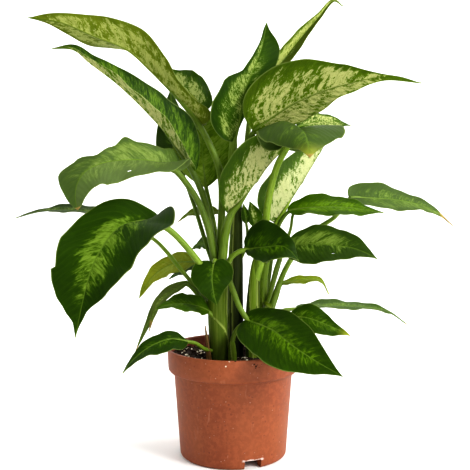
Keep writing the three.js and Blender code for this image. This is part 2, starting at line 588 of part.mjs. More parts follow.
function blade(leaf) {
  const curve = new THREE.CatmullRomCurve3(leaf.rib.map(vec));
  const columns = BLADE_COLUMNS.length;
  const steps = Math.min(11, Math.max(6, Math.round(curve.getLength() / ROW_LENGTH)));
  // Rows lie closer together near the base and the tip
  const places = leaf.lobe ? [LOBE_ROW] : [];
  for (let i = 0; i <= steps; i += 1) {
    const t = i / steps;
    places.push(0.6 * t + 0.4 * (0.5 - 0.5 * Math.cos(Math.PI * t)));
  }
  places.sort((a, b) => a - b);
  const grid = places.map((u) => BLADE_COLUMNS.map((v) => bladePoint(leaf, curve, u, v)));
  const rows = grid.length - 1;
  const top = [];
  const bottom = [];
  grid.forEach((row, i) => row.forEach((point, j) => {
    const ahead = grid[Math.min(i + 1, rows)][j].clone().sub(grid[Math.max(i - 1, 0)][j]);
    const across = row[Math.min(j + 1, columns - 1)].clone().sub(row[Math.max(j - 1, 0)]);
    const normal = across.cross(ahead).normalize();
    top.push(...point.clone().addScaledVector(normal, BLADE_THICKNESS / 2).toArray());
    bottom.push(...point.clone().addScaledVector(normal, -BLADE_THICKNESS / 2).toArray());
  }));
  const under = (rows + 1) * columns;
  const triangles = [];
  for (let i = 0; i < rows; i += 1) {
    for (let j = 0; j < columns - 1; j += 1) {
      const a = i * columns + j;
      const b = a + 1;
      const c = b + columns;
      const d = a + columns;
      triangles.push(a, b, c, a, c, d);
      triangles.push(under + a, under + c, under + b, under + a, under + d, under + c);
    }
  }
  const rim = [];
  for (let j = 0; j < columns - 1; j += 1) {
    rim.push(j);
  }
  for (let i = 0; i < rows; i += 1) {
    rim.push(i * columns + columns - 1);
  }
  for (let j = columns - 1; j > 0; j -= 1) {
    rim.push(rows * columns + j);
  }
  for (let i = rows; i > 0; i -= 1) {
    rim.push(i * columns);
  }
  rim.forEach((a, k) => {
    const b = rim[(k + 1) % rim.length];
    triangles.push(a, under + a, under + b, a, under + b, b);
  });
  return solidOf([...top, ...bottom], triangles);
}

// The stalk runs from inside its cane to the blade and on under the first part of the midrib
function stalk(leaf, grow = 0) {
  const curve = new THREE.CatmullRomCurve3(leaf.rib.map(vec));
  const keel = KEEL.map(({ u, drop }) => {
    const across = along(leaf.right, u).sub(along(leaf.left, u));
    const up = across.cross(curve.getTangentAt(u)).normalize();
    return curve.getPointAt(u).addScaledVector(up, -drop * leaf.radii[0]).toArray();
  });
  const path = [...keel, ...leaf.stalk];
  const smooth = new THREE.CatmullRomCurve3(path.map(vec));
  const length = smooth.getLength();
  const taper = KEEL[0].u * curve.getLength();
  const steps = Math.max(6, Math.round(length / STALK_STEP));
  const points = [];
  const sizes = [];
  for (let k = 0; k <= steps; k += 1) {
    const u = k / steps;
    points.push(smooth.getPointAt(u));
    const full = leaf.radii[0] + (leaf.radii[1] - leaf.radii[0]) * u;
    const share = clamp01((u * length) / taper);
    sizes.push(STALK_TIP_RADIUS + (full - STALK_TIP_RADIUS) * share + grow);
  }
  return tube(points, sizes, STALK_SIDES);
}

function biggestPiece(solid) {
  const pieces = solid.decompose();
  pieces.sort((a, b) => b.volume() - a.volume());
  return pieces[0];
}

const canes = Object.entries(CANES).map(([name, places]) => ({
  name,
  solid: cane(places),
  hole: cane(places, HOLE_GAP),
}));

// A body turned about Z from its profile of radii and heights
function turned(profile, sides) {
  const points = profile.map(([r, z]) => new THREE.Vector2(r, z));
  const body = new THREE.LatheGeometry(points, sides);
  body.rotateX(Math.PI / 2);
  return body;
}

function pot() {
  const rimIn = RIM_RADIUS - WALL;
  const bodyIn = BODY_TOP_RADIUS - WALL;
  const { inner, outer, height } = FLOOR_CHANNEL;
  const shell = turned([
    [0, 0], [FOOT_RADIUS - 3, 0], [FOOT_RADIUS - 0.9, 0.9], [FOOT_RADIUS, 3.2],
    [BODY_TOP_RADIUS, RIM_FOOT_Z], [RIM_RADIUS - 3, RIM_FOOT_Z],
    [RIM_RADIUS - 0.8, RIM_FOOT_Z + 2.5], [RIM_RADIUS, POT_HEIGHT - 1],
    [RIM_RADIUS - 0.7, POT_HEIGHT], [rimIn, POT_HEIGHT], [rimIn - 0.6, POT_HEIGHT - 1.5],
    [bodyIn, RIM_FOOT_Z], [FOOT_RADIUS - WALL, FLOOR_Z], [0, FLOOR_Z],
  ], POT_SIDES);
  const channel = turned([
    [inner, -1], [outer, -1], [outer, height], [inner, height], [inner, -1],
  ], POT_SIDES);
  let solid = solidOfGeometry(shell).subtract(solidOfGeometry(channel));
  for (let k = 0; k < DRAIN.count; k += 1) {
    const angle = (2 * Math.PI * (k + 0.5)) / DRAIN.count;
    const drain = new THREE.CylinderGeometry(DRAIN.radius, DRAIN.radius, 3 * FLOOR_Z, DRAIN.sides);
    drain.rotateX(Math.PI / 2);
    drain.translate(DRAIN.ring * Math.cos(angle), DRAIN.ring * Math.sin(angle), 0);
    solid = solid.subtract(solidOfGeometry(drain));
  }
  for (let k = 0; k < FOOT_NOTCH.count; k += 1) {
    const angle = -Math.PI / 2 + (2 * Math.PI * k) / FOOT_NOTCH.count + FOOT_NOTCH.turn;
    const reach = FOOT_NOTCH.depth + 3;
    const notch = new THREE.BoxGeometry(reach, FOOT_NOTCH.width, 2 * FOOT_NOTCH.height);
    notch.translate(FOOT_RADIUS + 3 - reach / 2, 0, 0);
    notch.rotateZ(angle);
    solid = solid.subtract(solidOfGeometry(notch));
  }
  return solid;
}

// The soil fills the pot up to a lumpy top, with a plain hole for each cane
function soil() {
  const body = turned([
    [0, FLOOR_Z + CLEARANCE], [FOOT_RADIUS - WALL - SOIL_GAP, FLOOR_Z + CLEARANCE],
    [BODY_TOP_RADIUS - WALL - SOIL_GAP, RIM_FOOT_Z], [BODY_TOP_RADIUS - WALL + 0.8, SOIL_Z - 3],
    [48, SOIL_Z - 0.5], [34, SOIL_Z + 0.5], [20, SOIL_Z], [0, SOIL_Z],
  ], SOIL_SIDES);
  const places = body.attributes.position;
  for (let k = 0; k < places.count; k += 1) {
    if (places.getZ(k) > SOIL_Z - 2) {
      const lump = Math.sin(places.getX(k) * 0.21) + Math.sin(places.getY(k) * 0.27 + 1);
      places.setZ(k, places.getZ(k) + SOIL_LUMP * lump);
    }
  }
  return canes.reduce((solid, cane) => solid.subtract(cane.hole), solidOfGeometry(body));
}

const group = new THREE.Group();
group.add(meshOf('pot', pot(), MATERIALS.pot));
group.add(meshOf('soil', soil(), MATERIALS.soil));
canes.forEach((cane) => group.add(meshOf(cane.name, cane.solid, MATERIALS.cane)));

const grown = [];
LEAVES.forEach((leaf) => {
  let solid = blade(leaf).add(stalk(leaf));
  canes.forEach((cane) => {
    solid = solid.subtract(cane.hole);
  });
  grown.forEach((earlier) => {
    solid = solid.subtract(earlier);
  });
  grown.push(stalk(leaf, HOLE_GAP));
  group.add(meshOf(leaf.name, biggestPiece(solid), leaf.pale ? MATERIALS.paleLeaf : MATERIALS.leaf));
});

export default group;
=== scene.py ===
import math
import random

import bmesh
import bpy
import numpy as np
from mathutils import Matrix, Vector, noise


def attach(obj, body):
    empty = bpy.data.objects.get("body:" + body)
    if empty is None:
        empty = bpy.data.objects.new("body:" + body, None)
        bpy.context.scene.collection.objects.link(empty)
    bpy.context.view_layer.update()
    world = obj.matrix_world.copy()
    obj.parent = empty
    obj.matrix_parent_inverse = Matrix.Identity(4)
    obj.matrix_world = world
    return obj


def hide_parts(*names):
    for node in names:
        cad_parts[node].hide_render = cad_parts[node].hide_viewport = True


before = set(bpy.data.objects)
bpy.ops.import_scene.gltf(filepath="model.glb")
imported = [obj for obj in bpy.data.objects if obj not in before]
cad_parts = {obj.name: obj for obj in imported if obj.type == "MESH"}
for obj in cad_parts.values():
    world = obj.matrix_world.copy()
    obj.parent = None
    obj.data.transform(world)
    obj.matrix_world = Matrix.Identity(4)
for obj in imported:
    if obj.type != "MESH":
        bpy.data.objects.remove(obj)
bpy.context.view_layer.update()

MM = 0.001
WELD_GAP = 1e-6
BODY = "root"

# The photograph's view
PHOTO_SIDE = 470
FOCAL_PIXELS = 847
SENSOR = 36.0
CAMERA_PLACE = (0.0017, -0.763, 0.262)
CAMERA_DIP = 0.080

# Pot and soil, as in the CAD source
POT_HEIGHT = 99
RIM_RADIUS = 60
RIM_HEIGHT = 21
BODY_TOP_RADIUS = 54
FOOT_RADIUS = 48.5
WALL = 2
SOIL_Z = 89
FLOOR_Z = 5
FLOOR_CHANNEL = {"inner": 22, "outer": 40, "height": 2.5}
FOOT_NOTCH = {"count": 3, "width": 15.5, "depth": 13.5, "height": 8, "turn": 0.37}
POCKET_WALL = 1.2
DRAIN = {"count": 6, "radius": 5, "ring": 31}
BEVEL = {"width": 0.35, "angle": 40, "steps": 2}
POT_SHARP_ANGLE = 42
POT_SIDES = 192
DRAIN_SIDES = 32
CHANNEL_SIDES = 96

# Places on the pot for its finish, in metres as the material reads them: the chipped edge over
# the front notch, its band as bottom, top and raggedness, and the inside of the rim band, where
# shade is painted
CHIPPED_PLACE = (0.018, -0.046)
CHIPPED_REACH = 0.0098
CHIPPED_BAND = (0.0072, 0.0068, 0.004)
INNER_RIM_RADIUS = 0.0577
INNER_RIM_FOOT = 0.078

# Soil: the heap towards the front and the left, the lumps as size and height, loose grains,
# and grains stuck on the outside of the rim as x, z, size, and 1 where they are perlite
SOIL_HEAP = 5.5
HEAP_FRONT = {"start": 14, "length": 36}
HEAP_LEFT = {"start": 24, "length": 24, "share": 0.5}
LUMPS = [(26.0, 2.2), (9.0, 1.3), (3.6, 0.8), (1.7, 0.45)]
SOIL_SIDES = 180
SOIL_RINGS = 60
SOIL_DROP = 0.3
SOIL_CLEAR = {"rim": 2.7, "band": 0.7, "foot": 0.9, "floor": 0.4, "pocket": 0.3}
CANE_HOLE = {"gap": 0.75, "steps": 40, "sides": 24}
GRAINS = {"count": 900, "white": 0.16, "ring": 53.5, "seed": 7, "clear": 2.2, "lift": 0.25}
GRAIN_SIZE = [(0.5, 1.7), (0.6, 1.5)]
CRUMB = {"wide": (0.7, 1.25), "high": (0.7, 1.2), "flat": 0.75, "rough": 0.32}
STUCK_DEPTH = 0.4
STUCK_GRAINS = [
    (-6, 94.2, 0.9, 1), (18, 95.4, 0.8, 0), (19.4, 93.8, 1.1, 0), (20.6, 94.8, 0.7, 0),
    (19, 92.2, 0.6, 0), (22, 92.6, 0.5, 0), (-3, 98.4, 0.7, 1), (2, 98.9, 0.8, 0),
]

# Canes: x, y, z and radius along each. Their looks: tone, 0 dark and 1 light, at the foot and
# the top, the margins of the sheaths as height and share of a turn, and a lighter strip as the
# shares of a turn where it starts and ends, and how much lighter it is.
CANE_DEPTH = 32
CANE_STEPS = 150
CANE_SIDES = 72
CANE_END = {"share": 0.96, "power": 20}
CANES = {
    "cane_main": [[-13, -12, 0, 7.5], [-13, -12, 100, 8.5], [-14, -12, 135, 8.8],
        [-14, -12, 165, 9.6], [-14, -12, 180, 7.5]],
    "cane_tall": [[2, 10, 0, 7.4], [2, 10, 100, 7.6], [2, 11, 170, 7], [4, 12, 238, 4.6]],
    "cane_right": [[18, 0, 0, 6.5], [18, 0, 100, 6.8], [18, 0, 135, 6.4], [20, 0, 180, 3.8]],
    "cane_outer": [[28, 13, 0, 5.5], [28, 13, 100, 5.5], [28, 13, 150, 4.2]],
    "cane_low": [[-1, -17, 0, 4], [-1, -17, 96, 4], [-1, -17, 108, 2.4]],
}
CANE_LOOKS = {
    "cane_main": {"tone": [0.28, 0.52], "margins": [
        [(180, 0.1), (150, 0.3), (135, 0.5), (127, 0.68), (119, 0.81), (112, 0.885), (105, 0.94),
         (57, 0.98)],
        [(180, 0.86), (175, 0.9), (130, 0.9), (110, 1.1)]]},
    "cane_tall": {"tone": [0.0, 0.14], "strip": [0.45, 0.63, 0.3], "margins": [
        [(240, 0.62), (160, 0.63), (57, 0.66)]]},
    "cane_right": {"tone": [0.14, 0.34], "strip": [0.6, 0.8, 0.36], "margins": [
        [(190, 0.5), (150, 0.6), (120, 0.68), (57, 0.72)],
        [(190, 0.78), (140, 0.8), (120, 0.84), (57, 0.9)]]},
    "cane_outer": {"tone": [1.0, 1.0], "margins": [[(160, 0.5), (120, 0.8), (57, 1.0)]]},
    "cane_low": {"tone": [0.4, 0.7], "margins": [[(110, 0.6), (57, 0.9)]]},
}
SHEATH_THICKNESS = 0.8
SHEATH_MARGIN = 0.05
INNER_SHEATH = 0.35
NO_STRIP = (0.0, 1.0, 0.0)
STRIP_EDGE = 0.03
DRY_SHEATHS = [
    [(-22.2, -15.0, 86, 2.2), (-22.8, -15.6, 104, 1.6), (-25.0, -16.4, 121, 0.5)],
    [(-20.5, -18.5, 86, 2.4), (-21.4, -19.6, 96, 1.9), (-22.4, -20.4, 107, 0.5)],
    [(-20.0, -6.0, 86, 2.4), (-22.2, -6.8, 99, 1.6), (-23.4, -7.5, 110, 0.4)],
]
DRY_SHEATH_STEPS = 16
DRY_SHEATH_SIDES = 8

# Blades: the sheet, its outline and its waves
THICKNESS = 0.9
THINNER_MARGIN = 0.5
SHARP_ANGLE = 50
MARGIN_WIDTH = 0.8
PLAIN_CURL = 0.1
LOBE_LENGTH = 0.3
PLAIN_RISE = 0.62
PLAIN_FALL = 1.15
RIPPLE = {"height": 1.2, "waves": 2.6, "shift": 0.4, "by_half": 0.37, "full_width": 10}
FRILL = {"height": 0.5, "waves": 6.3, "by_leaf": 0.21, "by_half": 0.4}

# Blades: the fields between the side veins, the groove over the midrib and the ridge under it
VEIN_GAP = {"least": 3.2, "most": 6.5, "share": 0.2}
VEIN_LEAN = {"at_rib": 0.55, "to_margin": 0.4}
FIELD = {"rise": 0.16, "full_width": 6}
UNDER_RELIEF = 0.8
GROOVE = {"depth": 0.5, "reach": 1.1, "fades": 0.9}
RIDGE = {"depth": 0.9, "least": 0.25, "reach": 0.9}

# Blades: rows and columns of the mesh, and the shift of each leaf's and half's own pattern
HALF_COLUMNS = 14
COLUMN_CROWDING = 1.25
ROW_STEP = 2.2
ROWS = (30, 100)
ROW_EVENNESS = 0.15
LEAF_SHIFT = 17.3
HALF_SHIFT = 23.7

# Marks: how early and over what share of the blade its patches begin and end, and the midrib's
# line in millimetres
PATCH_MARGIN = (0.3, 0.42)
PATCH_START = (0.08, 0.16)
PATCH_END = (0.12, 0.24)
RIPE_LENGTH = 0.22
DRY_EDGE = 0.35
RIB_LINE = {"width": 1.15, "narrows": 0.75}

# Stalks. KEEL: how far a stalk hangs under the midrib, as shares of the rib and of its radius
STALK_TIP_RADIUS = 0.7
KEEL = [(0.3, 0.2), (0.14, 0.55), (0.02, 0.75)]
STALK_SIDES = 14
STALK_STEP = 2.5
STALK_LEAST_STEPS = 24

# Leaves. rib: the midrib from the base of the blade to its tip. left and right: the direction
# of each half along the rib, seen from the base with the upper side up. curl: how far both
# halves curl upwards. Of the left and the right half: width, lobe (how far it reaches back past
# its stalk), rise and fall (how its outline swells and narrows), trim (shares of that outline
# along the rib) and arch (how far it bulges near its base). A single direction or share holds
# all along. nick: a small tear in a margin. stalk: the way from the blade down into the cane.
# radii: of the stalk at the blade and at the cane.
LEAVES = [
    {
        "name": "leaf_top_left_arching", "pale": True,
        "rib": [[-29, 5, 301], [-43, 8, 318], [-59, 7, 334], [-74, 4, 349], [-94, 0, 366],
            [-122, -4, 377], [-152, -6, 389], [-180, -6, 393]],
        "left": [[0.9, -0.3, 0.3], [0.4, -0.85, 0.4], [0.6, -0.4, 0.7], [0.3, -0.3, 0.9],
            [0.1, -0.3, 0.95]],
        "right": [[0.3, 0.9, 0.3], [0.2, 0.95, 0.2], [0.1, 0.85, -0.1], [0, 0.7, -0.5], [0, 0.6, -0.8]],
        "width": [33, 28], "lobe": [8, 8],
        "trim": [[1, 0.45, 0.6, 0.76, 0.82, 0.75, 1], [1, 1, 1, 1.04, 1.14, 1.1, 1, 0.7]],
        "stalk": [[-23, 4, 286], [-15, 3, 268], [-11, 2, 252], [-10, 0, 234], [-11, -4, 205],
            [-12, -9, 182], [-13, -12, 165]],
        "radii": [2.6, 3.6],
    },
    {
        "name": "leaf_left_folded",
        "rib": [[-34, -4, 258], [-47, -10, 277], [-65, -18, 300], [-97, -26, 332], [-122, -30, 351],
            [-136, -31, 362], [-154, -32, 363]],
        "left": [[0.3, -0.9, 0.1], [0.25, -0.9, 0.3], [0.2, -0.9, 0.3]],
        "right": [[0.6, 0.4, 0.5], [0.45, 0.5, 0.65], [0.3, 0.5, 0.7]],
        "width": [17, 22],
        "trim": [[1, 0.95, 0.9, 0.8, 0.7, 1], [1.2, 1.34, 1.04, 0.83, 0.86, 1]],
        "stalk": [[-29, -4, 242], [-24, -6, 227], [-20, -8, 206], [-16, -11, 186], [-14, -12, 168]],
        "radii": [2.4, 3.4],
    },
    {
        "name": "leaf_left_broad",
        "rib": [[-48, -22, 259], [-63, -37, 266], [-82, -53, 268], [-104, -64, 266], [-119, -73, 259],
            [-125, -80, 249], [-126, -85, 238], [-124, -88, 228]],
        "left": [[0.3, -0.1, 1], [0.2, -0.7, -0.4], [0.05, -0.65, -0.75], [0.3, -0.5, -0.8],
            [0.9, -0.3, -0.2]],
        "right": [[0.3, 0.8, 0.3], [0, 0.6, 0.8], [-0.35, 0.5, 0.85], [-0.1, 0.6, 0.7],
            [-0.8, 0.4, 0.2], [-0.9, 0.2, -0.3]],
        "width": [28, 28], "lobe": [14, 10], "rise": [0.6, 0.6], "fall": [0.7, 0.9],
        "trim": [[1, 1, 0.9, 0.8, 0.76, 0.8, 0.9, 0.93, 0.92, 0.9, 1],
            [1, 1, 0.55, 0.65, 0.82, 0.5, 0.36, 0.7, 1.25, 1, 1]],
        "stalk": [[-39, -18, 245], [-30, -16, 230], [-22, -16, 208], [-18, -15, 188], [-14, -12, 168]],
        "radii": [2.4, 3.4],
    },
    {
        "name": "leaf_top_left_behind",
        "rib": [[-30, 68, 318], [-42, 82, 332], [-56, 96, 343], [-67, 105, 353], [-77, 114, 362]],
        "left": [[-0.3, -0.7, -0.5]],
        "right": [[0.4, 0.3, 0.8]],
        "width": [10, 25], "lobe": [8, 8],
        "trim": [[1], [0.8, 0.78, 0.88, 1, 1, 1]],
        "stalk": [[-14, 62, 298], [-6, 48, 264], [-1, 26, 232], [3, 12, 212]],
        "radii": [1.8, 2.8],
    },
    {
        "name": "leaf_left_behind",
        "rib": [[-46, 24, 254], [-53, 37, 275], [-58, 54, 305], [-61, 70, 338]],
        "left": [[-1, 0, 0]],
        "right": [[1, 0.2, 0]],
        "width": [18, 17],
        "stalk": [[-40, 20, 238], [-33, 10, 219], [-24, -2, 192], [-15, -11, 168]],
        "radii": [1.6, 2.2],
    },
    {
        "name": "leaf_centre_behind",
        "rib": [[-25, 20, 243], [-28, 25, 269], [-28, 31, 297], [-27, 36, 316]],
        "left": [[-1, 0.1, 0]],
        "right": [[1, 0.1, 0]],
        "width": [28, 32], "rise": [0.9, 0.9], "fall": [0.8, 0.8],
        "stalk": [[-22, 16, 230], [-18, 10, 212], [-15, 0, 192], [-13, -10, 170]],
        "radii": [1.8, 2.6],
    },
    {
        "name": "leaf_top_upright",
        "rib": [[1, 3, 285], [5, 0, 300], [8, -3, 314], [11, -6, 330], [18, -6, 348], [25, -4, 366],
            [30, 2, 390]],
        "left": [[-0.8, -0.3, -0.35], [-0.9, -0.25, 0.1], [-0.9, -0.2, 0.2]],
        "right": [[0.8, 0.3, 0.1], [0.9, 0.2, 0]],
        "width": [29, 20], "lobe": [2, 2], "rise": [0.45, 2], "fall": [0.8, 0.7],
        "trim": [[1.1, 1.15, 1.05, 0.78, 0.32, 0.26, 0.2, 0.3], [1, 1, 1, 0.9, 0.85, 0.2]],
        "stalk": [[-1, 5, 272], [-1, 9, 246], [2, 12, 225], [4, 12, 208]],
        "radii": [3.2, 3.8],
    },
    {
        "name": "leaf_top_right_large", "pale": True,
        "rib": [[18, -14, 294], [36, -18, 306], [52, -22, 316], [79, -32, 327], [98, -38, 332],
            [123, -44, 337], [157, -50, 332]],
        "left": [[-0.6, 0.2, 0.7], [-0.4, 0.25, 0.85], [-0.2, 0.3, 0.9]],
        "right": [[0.3, -0.45, -0.6], [0.25, -0.55, -0.65], [0.1, -0.6, -0.6]],
        "width": [37, 24], "lobe": [4, 1], "rise": [0.5, 0.5], "fall": [1.5, 1.2],
        "trim": [[1, 1, 0.97, 0.78, 0.3, 0.9], [1, 0.95, 0.88, 0.68, 0.45, 0.8]],
        "stalk": [[14, -8, 286], [8, 0, 273], [5, 8, 246], [4, 12, 215]],
        "radii": [2, 3],
    },
    {
        "name": "leaf_top_narrow",
        "rib": [[27, 31, 337], [47, 45, 362], [64, 59, 384], [82, 73, 406], [99, 86, 425],
            [109, 95, 422]],
        "left": [[-0.6, -0.5, 0.6]],
        "right": [[0.5, -0.6, -0.5]],
        "width": [11, 8],
        "trim": [[1, 1, 0.8, 0.6, 1], [1, 1, 0.8, 0.6, 1]],
        "stalk": [[17, 25, 314], [12, 19, 278], [7, 16, 241], [4, 12, 215]],
        "radii": [2, 3],
    },
    {
        "name": "leaf_centre_pale", "pale": True,
        "rib": [[-4, -14, 221], [8, -16, 234], [20, -16, 250], [31, -12, 264], [42, -6, 275],
            [56, 0, 283]],
        "left": [[0.2, 0.95, 0.1]],
        "right": [[-0.7, -0.35, 0.6], [-0.6, -0.35, 0.7]],
        "width": [26, 32], "curl": 0.05, "rise": [0.5, 0.5], "fall": [0.6, 0.6],
        "stalk": [[-7, -18, 202], [-9, -17, 186], [-12, -13, 165]],
        "radii": [3, 4.6],
    },
    {
        "name": "leaf_facing_front",
        "rib": [[46, -30, 280], [51, -40, 289], [55, -56, 293], [58, -74, 289], [60, -86, 279],
            [61, -90, 269]],
        "left": [[0.8, 0.5, 0.35], [0.95, 0.2, 0.05], [0.9, 0, -0.4]],
        "right": [[-0.9, -0.1, 0.35], [-0.95, 0, -0.2], [-0.9, -0.1, -0.5]],
        "width": [40, 34], "curl": -0.1, "lobe": [14, 14], "arch": [4, 16],
        "stalk": [[39, -20, 264], [32, -12, 237], [29, -8, 213], [26, -4, 185], [20, 0, 158]],
        "radii": [2.6, 4],
    },
    {
        "name": "leaf_right_behind", "pale": True,
        "rib": [[59, 28, 299], [79, 47, 305], [97, 65, 306], [116, 80, 303]],
        "left": [[0, 0.6, 0.7]],
        "right": [[0, -0.6, -0.7]],
        "width": [9.5, 12],
        "stalk": [[45, 24, 273], [36, 19, 248], [32, 14, 223], [28, 9, 196], [21, 2, 165]],
        "radii": [1.6, 2.2],
    },
    {
        "name": "leaf_right_pale", "pale": True,
        "rib": [[39, 22, 210], [48, 20, 225], [57, 20, 239], [71, 24, 261], [90, 34, 292]],
        "left": [[0.2, 0.95, 0.1]],
        "right": [[-0.75, -0.3, 0.5]],
        "width": [26, 31], "curl": 0.05, "rise": [0.6, 0.35], "fall": [0.8, 0.8],
        "trim": [[1], [1, 1, 0.96, 0.9, 0.85, 0.85]],
        "stalk": [[33, 18, 192], [30, 15, 174], [28, 13, 156], [28, 13, 138]],
        "radii": [2.6, 4.3],
    },
    {
        "name": "leaf_right_middle",
        "rib": [[50, 16, 222], [71, 18, 225], [105, 20, 225], [124, 22, 222], [140, 24, 220]],
        "left": [[0, 0.8, 0.5]],
        "right": [[0, -0.8, -0.5]],
        "width": [18, 19],
        "trim": [[1], [1, 0.65, 0.8, 1, 1, 1]],
        "stalk": [[43, 17, 210], [37, 20, 186], [33, 19, 158], [29, 14, 130]],
        "radii": [1.6, 2.2],
    },
    {
        "name": "leaf_right_middle_behind",
        "rib": [[56, 36, 218], [71, 49, 222], [92, 65, 222], [111, 80, 217]],
        "left": [[0, 0.8, 0.5]],
        "right": [[0, -0.8, -0.4]],
        "width": [11, 11],
        "stalk": [[54, 32, 204], [46, 29, 180], [37, 24, 150], [29, 14, 122]],
        "radii": [1.3, 1.8],
    },
    {
        "name": "leaf_far_right",
        "rib": [[113, 59, 233], [144, 73, 231], [176, 88, 227], [204, 100, 218], [227, 110, 202]],
        "left": [[0, 0.7, 0.65]],
        "right": [[0, -0.8, -0.45]],
        "width": [21, 21], "lobe": [4, 3], "rise": [0.7, 0.6], "fall": [1.5, 1.5],
        "trim": [[1.25, 0.95, 0.72, 0.7, 1], [1]],
        "stalk": [[96, 43, 214], [80, 36, 204], [61, 27, 185], [50, 20, 170], [38, 13, 142],
            [30, 12, 112]],
        "radii": [1.8, 2.8],
    },
    {
        "name": "leaf_centre_right_dark",
        "rib": [[12, -20, 190], [28, -34, 193], [44, -44, 194], [56, -48, 183]],
        "left": [[-0.1, 0.5, 0.8], [0, 0.5, 0.8]],
        "right": [[0, -0.85, -0.5]],
        "width": [25, 24], "lobe": [6, 2],
        "trim": [[1, 1, 0.92, 0.65, 0.6], [0.3, 0.52, 0.75, 1.3, 2.9, 2.5]],
        "stalk": [[6, -20, 188], [-2, -19, 182], [-6, -17, 170], [-12, -13, 152]],
        "radii": [2, 2.8],
    },
    {
        "name": "leaf_right_dark",
        "rib": [[46, -4, 191], [64, -14, 194], [85, -26, 194], [105, -38, 192], [122, -50, 185]],
        "left": [[0, 0.75, 0.6]],
        "right": [[0, -0.75, -0.6]],
        "width": [21, 25],
        "stalk": [[40, 0, 173], [35, 4, 152], [29, 12, 130]],
        "radii": [1.8, 2.4],
    },
    {
        "name": "leaf_front_left_large",
        "rib": [[-69, -39, 217], [-94, -60, 213], [-111, -80, 189], [-116, -88, 173], [-126, -95, 126]],
        "left": [[0.4, -0.35, 0.55], [0.8, -0.45, -0.05], [0.8, -0.45, -0.2], [0.75, -0.45, -0.35],
            [0.7, -0.45, -0.5], [0.75, -0.4, -0.4], [0.8, -0.35, -0.3], [0.85, -0.3, -0.1],
            [0.9, -0.2, 0.1]],
        "right": [[-0.1, 0.75, 0.5], [-0.5, 0.4, 0.6], [-0.95, 0.2, 0]],
        "width": [35, 35], "lobe": [15, 14], "rise": [0.45, 0.8], "fall": [1, 1],
        "trim": [[1, 1.25, 1.1, 1, 1.12, 1, 0.4, 0.1],
            [1, 1, 1, 0.97, 0.94, 0.95, 0.96, 0.98, 1, 1.08, 1.15, 1.12, 0.9, 0.45, 0.4]],
        "nick": {"half": 1, "span": [0.48, 0.615], "depth": 3.6},
        "stalk": [[-56, -36, 209], [-29, -29, 178], [-20, -21, 160], [-14, -13, 142]],
        "radii": [2.4, 3.2],
    },
    {
        "name": "leaf_left_yellow", "pale": True,
        "rib": [[-34, 10, 175], [-54, 22, 173], [-74, 30, 161], [-84, 34, 148], [-90, 36, 137]],
        "left": [[0, -0.6, -0.5], [0.2, -0.6, -0.5], [0.8, -0.2, 0]],
        "right": [[0, 0.6, 0.6], [-0.2, 0.6, 0.6], [-0.8, 0.3, 0.2]],
        "width": [14, 11],
        "trim": [[1, 1, 0.92, 0.75, 0.65, 1], [1]],
        "stalk": [[-26, 2, 163], [-19, -5, 147], [-14, -11, 130]],
        "radii": [1.8, 2.4],
    },
    {
        "name": "leaf_left_small_dark",
        "rib": [[-31, 32, 173], [-45, 38, 166], [-62, 44, 155]],
        "left": [[0, -0.8, -0.5]],
        "right": [[0, 0.8, 0.5]],
        "width": [8, 8],
        "stalk": [[-22, 24, 165], [-8, 14, 148], [3, 10, 135]],
        "radii": [1.2, 1.6],
    },
    {
        "name": "leaf_left_small_round",
        "rib": [[-18, 30, 186], [-28, 36, 190], [-40, 42, 184]],
        "left": [[0, -0.8, -0.5]],
        "right": [[0, 0.8, 0.5]],
        "width": [9, 9],
        "stalk": [[-10, 25, 177], [-2, 16, 162], [3, 11, 148]],
        "radii": [1.2, 1.6],
    },
    {
        "name": "leaf_left_small_thin",
        "rib": [[-13, 20, 220], [-26, 26, 221], [-40, 30, 219], [-52, 32, 211]],
        "left": [[0, -0.8, -0.5]],
        "right": [[0, 0.8, 0.5]],
        "width": [7, 7],
        "stalk": [[-6, 17, 214], [4, 12, 198]],
        "radii": [1.2, 1.6],
    },
    {
        "name": "leaf_far_left",
        "rib": [[-112, 60, 205], [-137, 76, 216], [-164, 90, 219], [-198, 103, 217], [-225, 113, 210]],
        "left": [[0, -0.95, -0.15]],
        "right": [[0, 0.9, 0.3]],
        "width": [15, 13],
        "stalk": [[-95, 42, 202], [-72, 20, 194], [-44, 2, 165], [-21, 5, 136], [0, 10, 115],
            [3, 10, 105]],
        "radii": [1.5, 2.2],
    },
    {
        "name": "leaf_front_heart",
        "rib": [[-17, -30, 178], [-18, -39, 168], [-17, -43, 157], [-14, -44, 144]],
        "left": [[1, -0.1, 0.1]],
        "right": [[-1, -0.1, 0]],
        "width": [19, 19], "curl": -0.1, "lobe": [8, 6],
        "trim": [[1, 1, 0.95, 0.85, 0.78, 0.85], [1, 1, 0.95, 0.85, 0.78, 0.85]],
        "stalk": [[-16, -26, 181], [-14, -20, 176], [-13, -13, 163]],
        "radii": [1.6, 2],
    },
    {
        "name": "leaf_front_right_large",
        "rib": [[12, -24, 128], [34, -48, 123], [51, -69, 113], [70, -84, 103], [88, -96, 95]],
        "left": [[0.4, 0.3, 0.7]],
        "right": [[-0.45, -0.6, -0.6]],
        "width": [22, 28], "curl": 0.05, "lobe": [6, 6],
        "trim": [[1, 0.87, 1, 1.14, 1.1, 1], [1, 1, 1, 1.18, 1.03, 1]],
        "stalk": [[6, -22, 138], [1, -20, 150], [-4, -17, 162], [-12, -13, 170]],
        "radii": [2.2, 2.8],
    },
    {
        "name": "leaf_low_right",
        "rib": [[50, -2, 126], [65, -8, 127], [82, -14, 122], [104, -20, 113]],
        "left": [[0.2, 0.6, 0.7]],
        "right": [[-0.2, -0.7, -0.6]],
        "width": [14, 18],
        "trim": [[1, 1, 0.9, 0.6, 1], [1]],
        "stalk": [[28, -6, 128], [13, -12, 124], [3, -16, 117], [-1, -17, 104], [-1, -17, 94]],
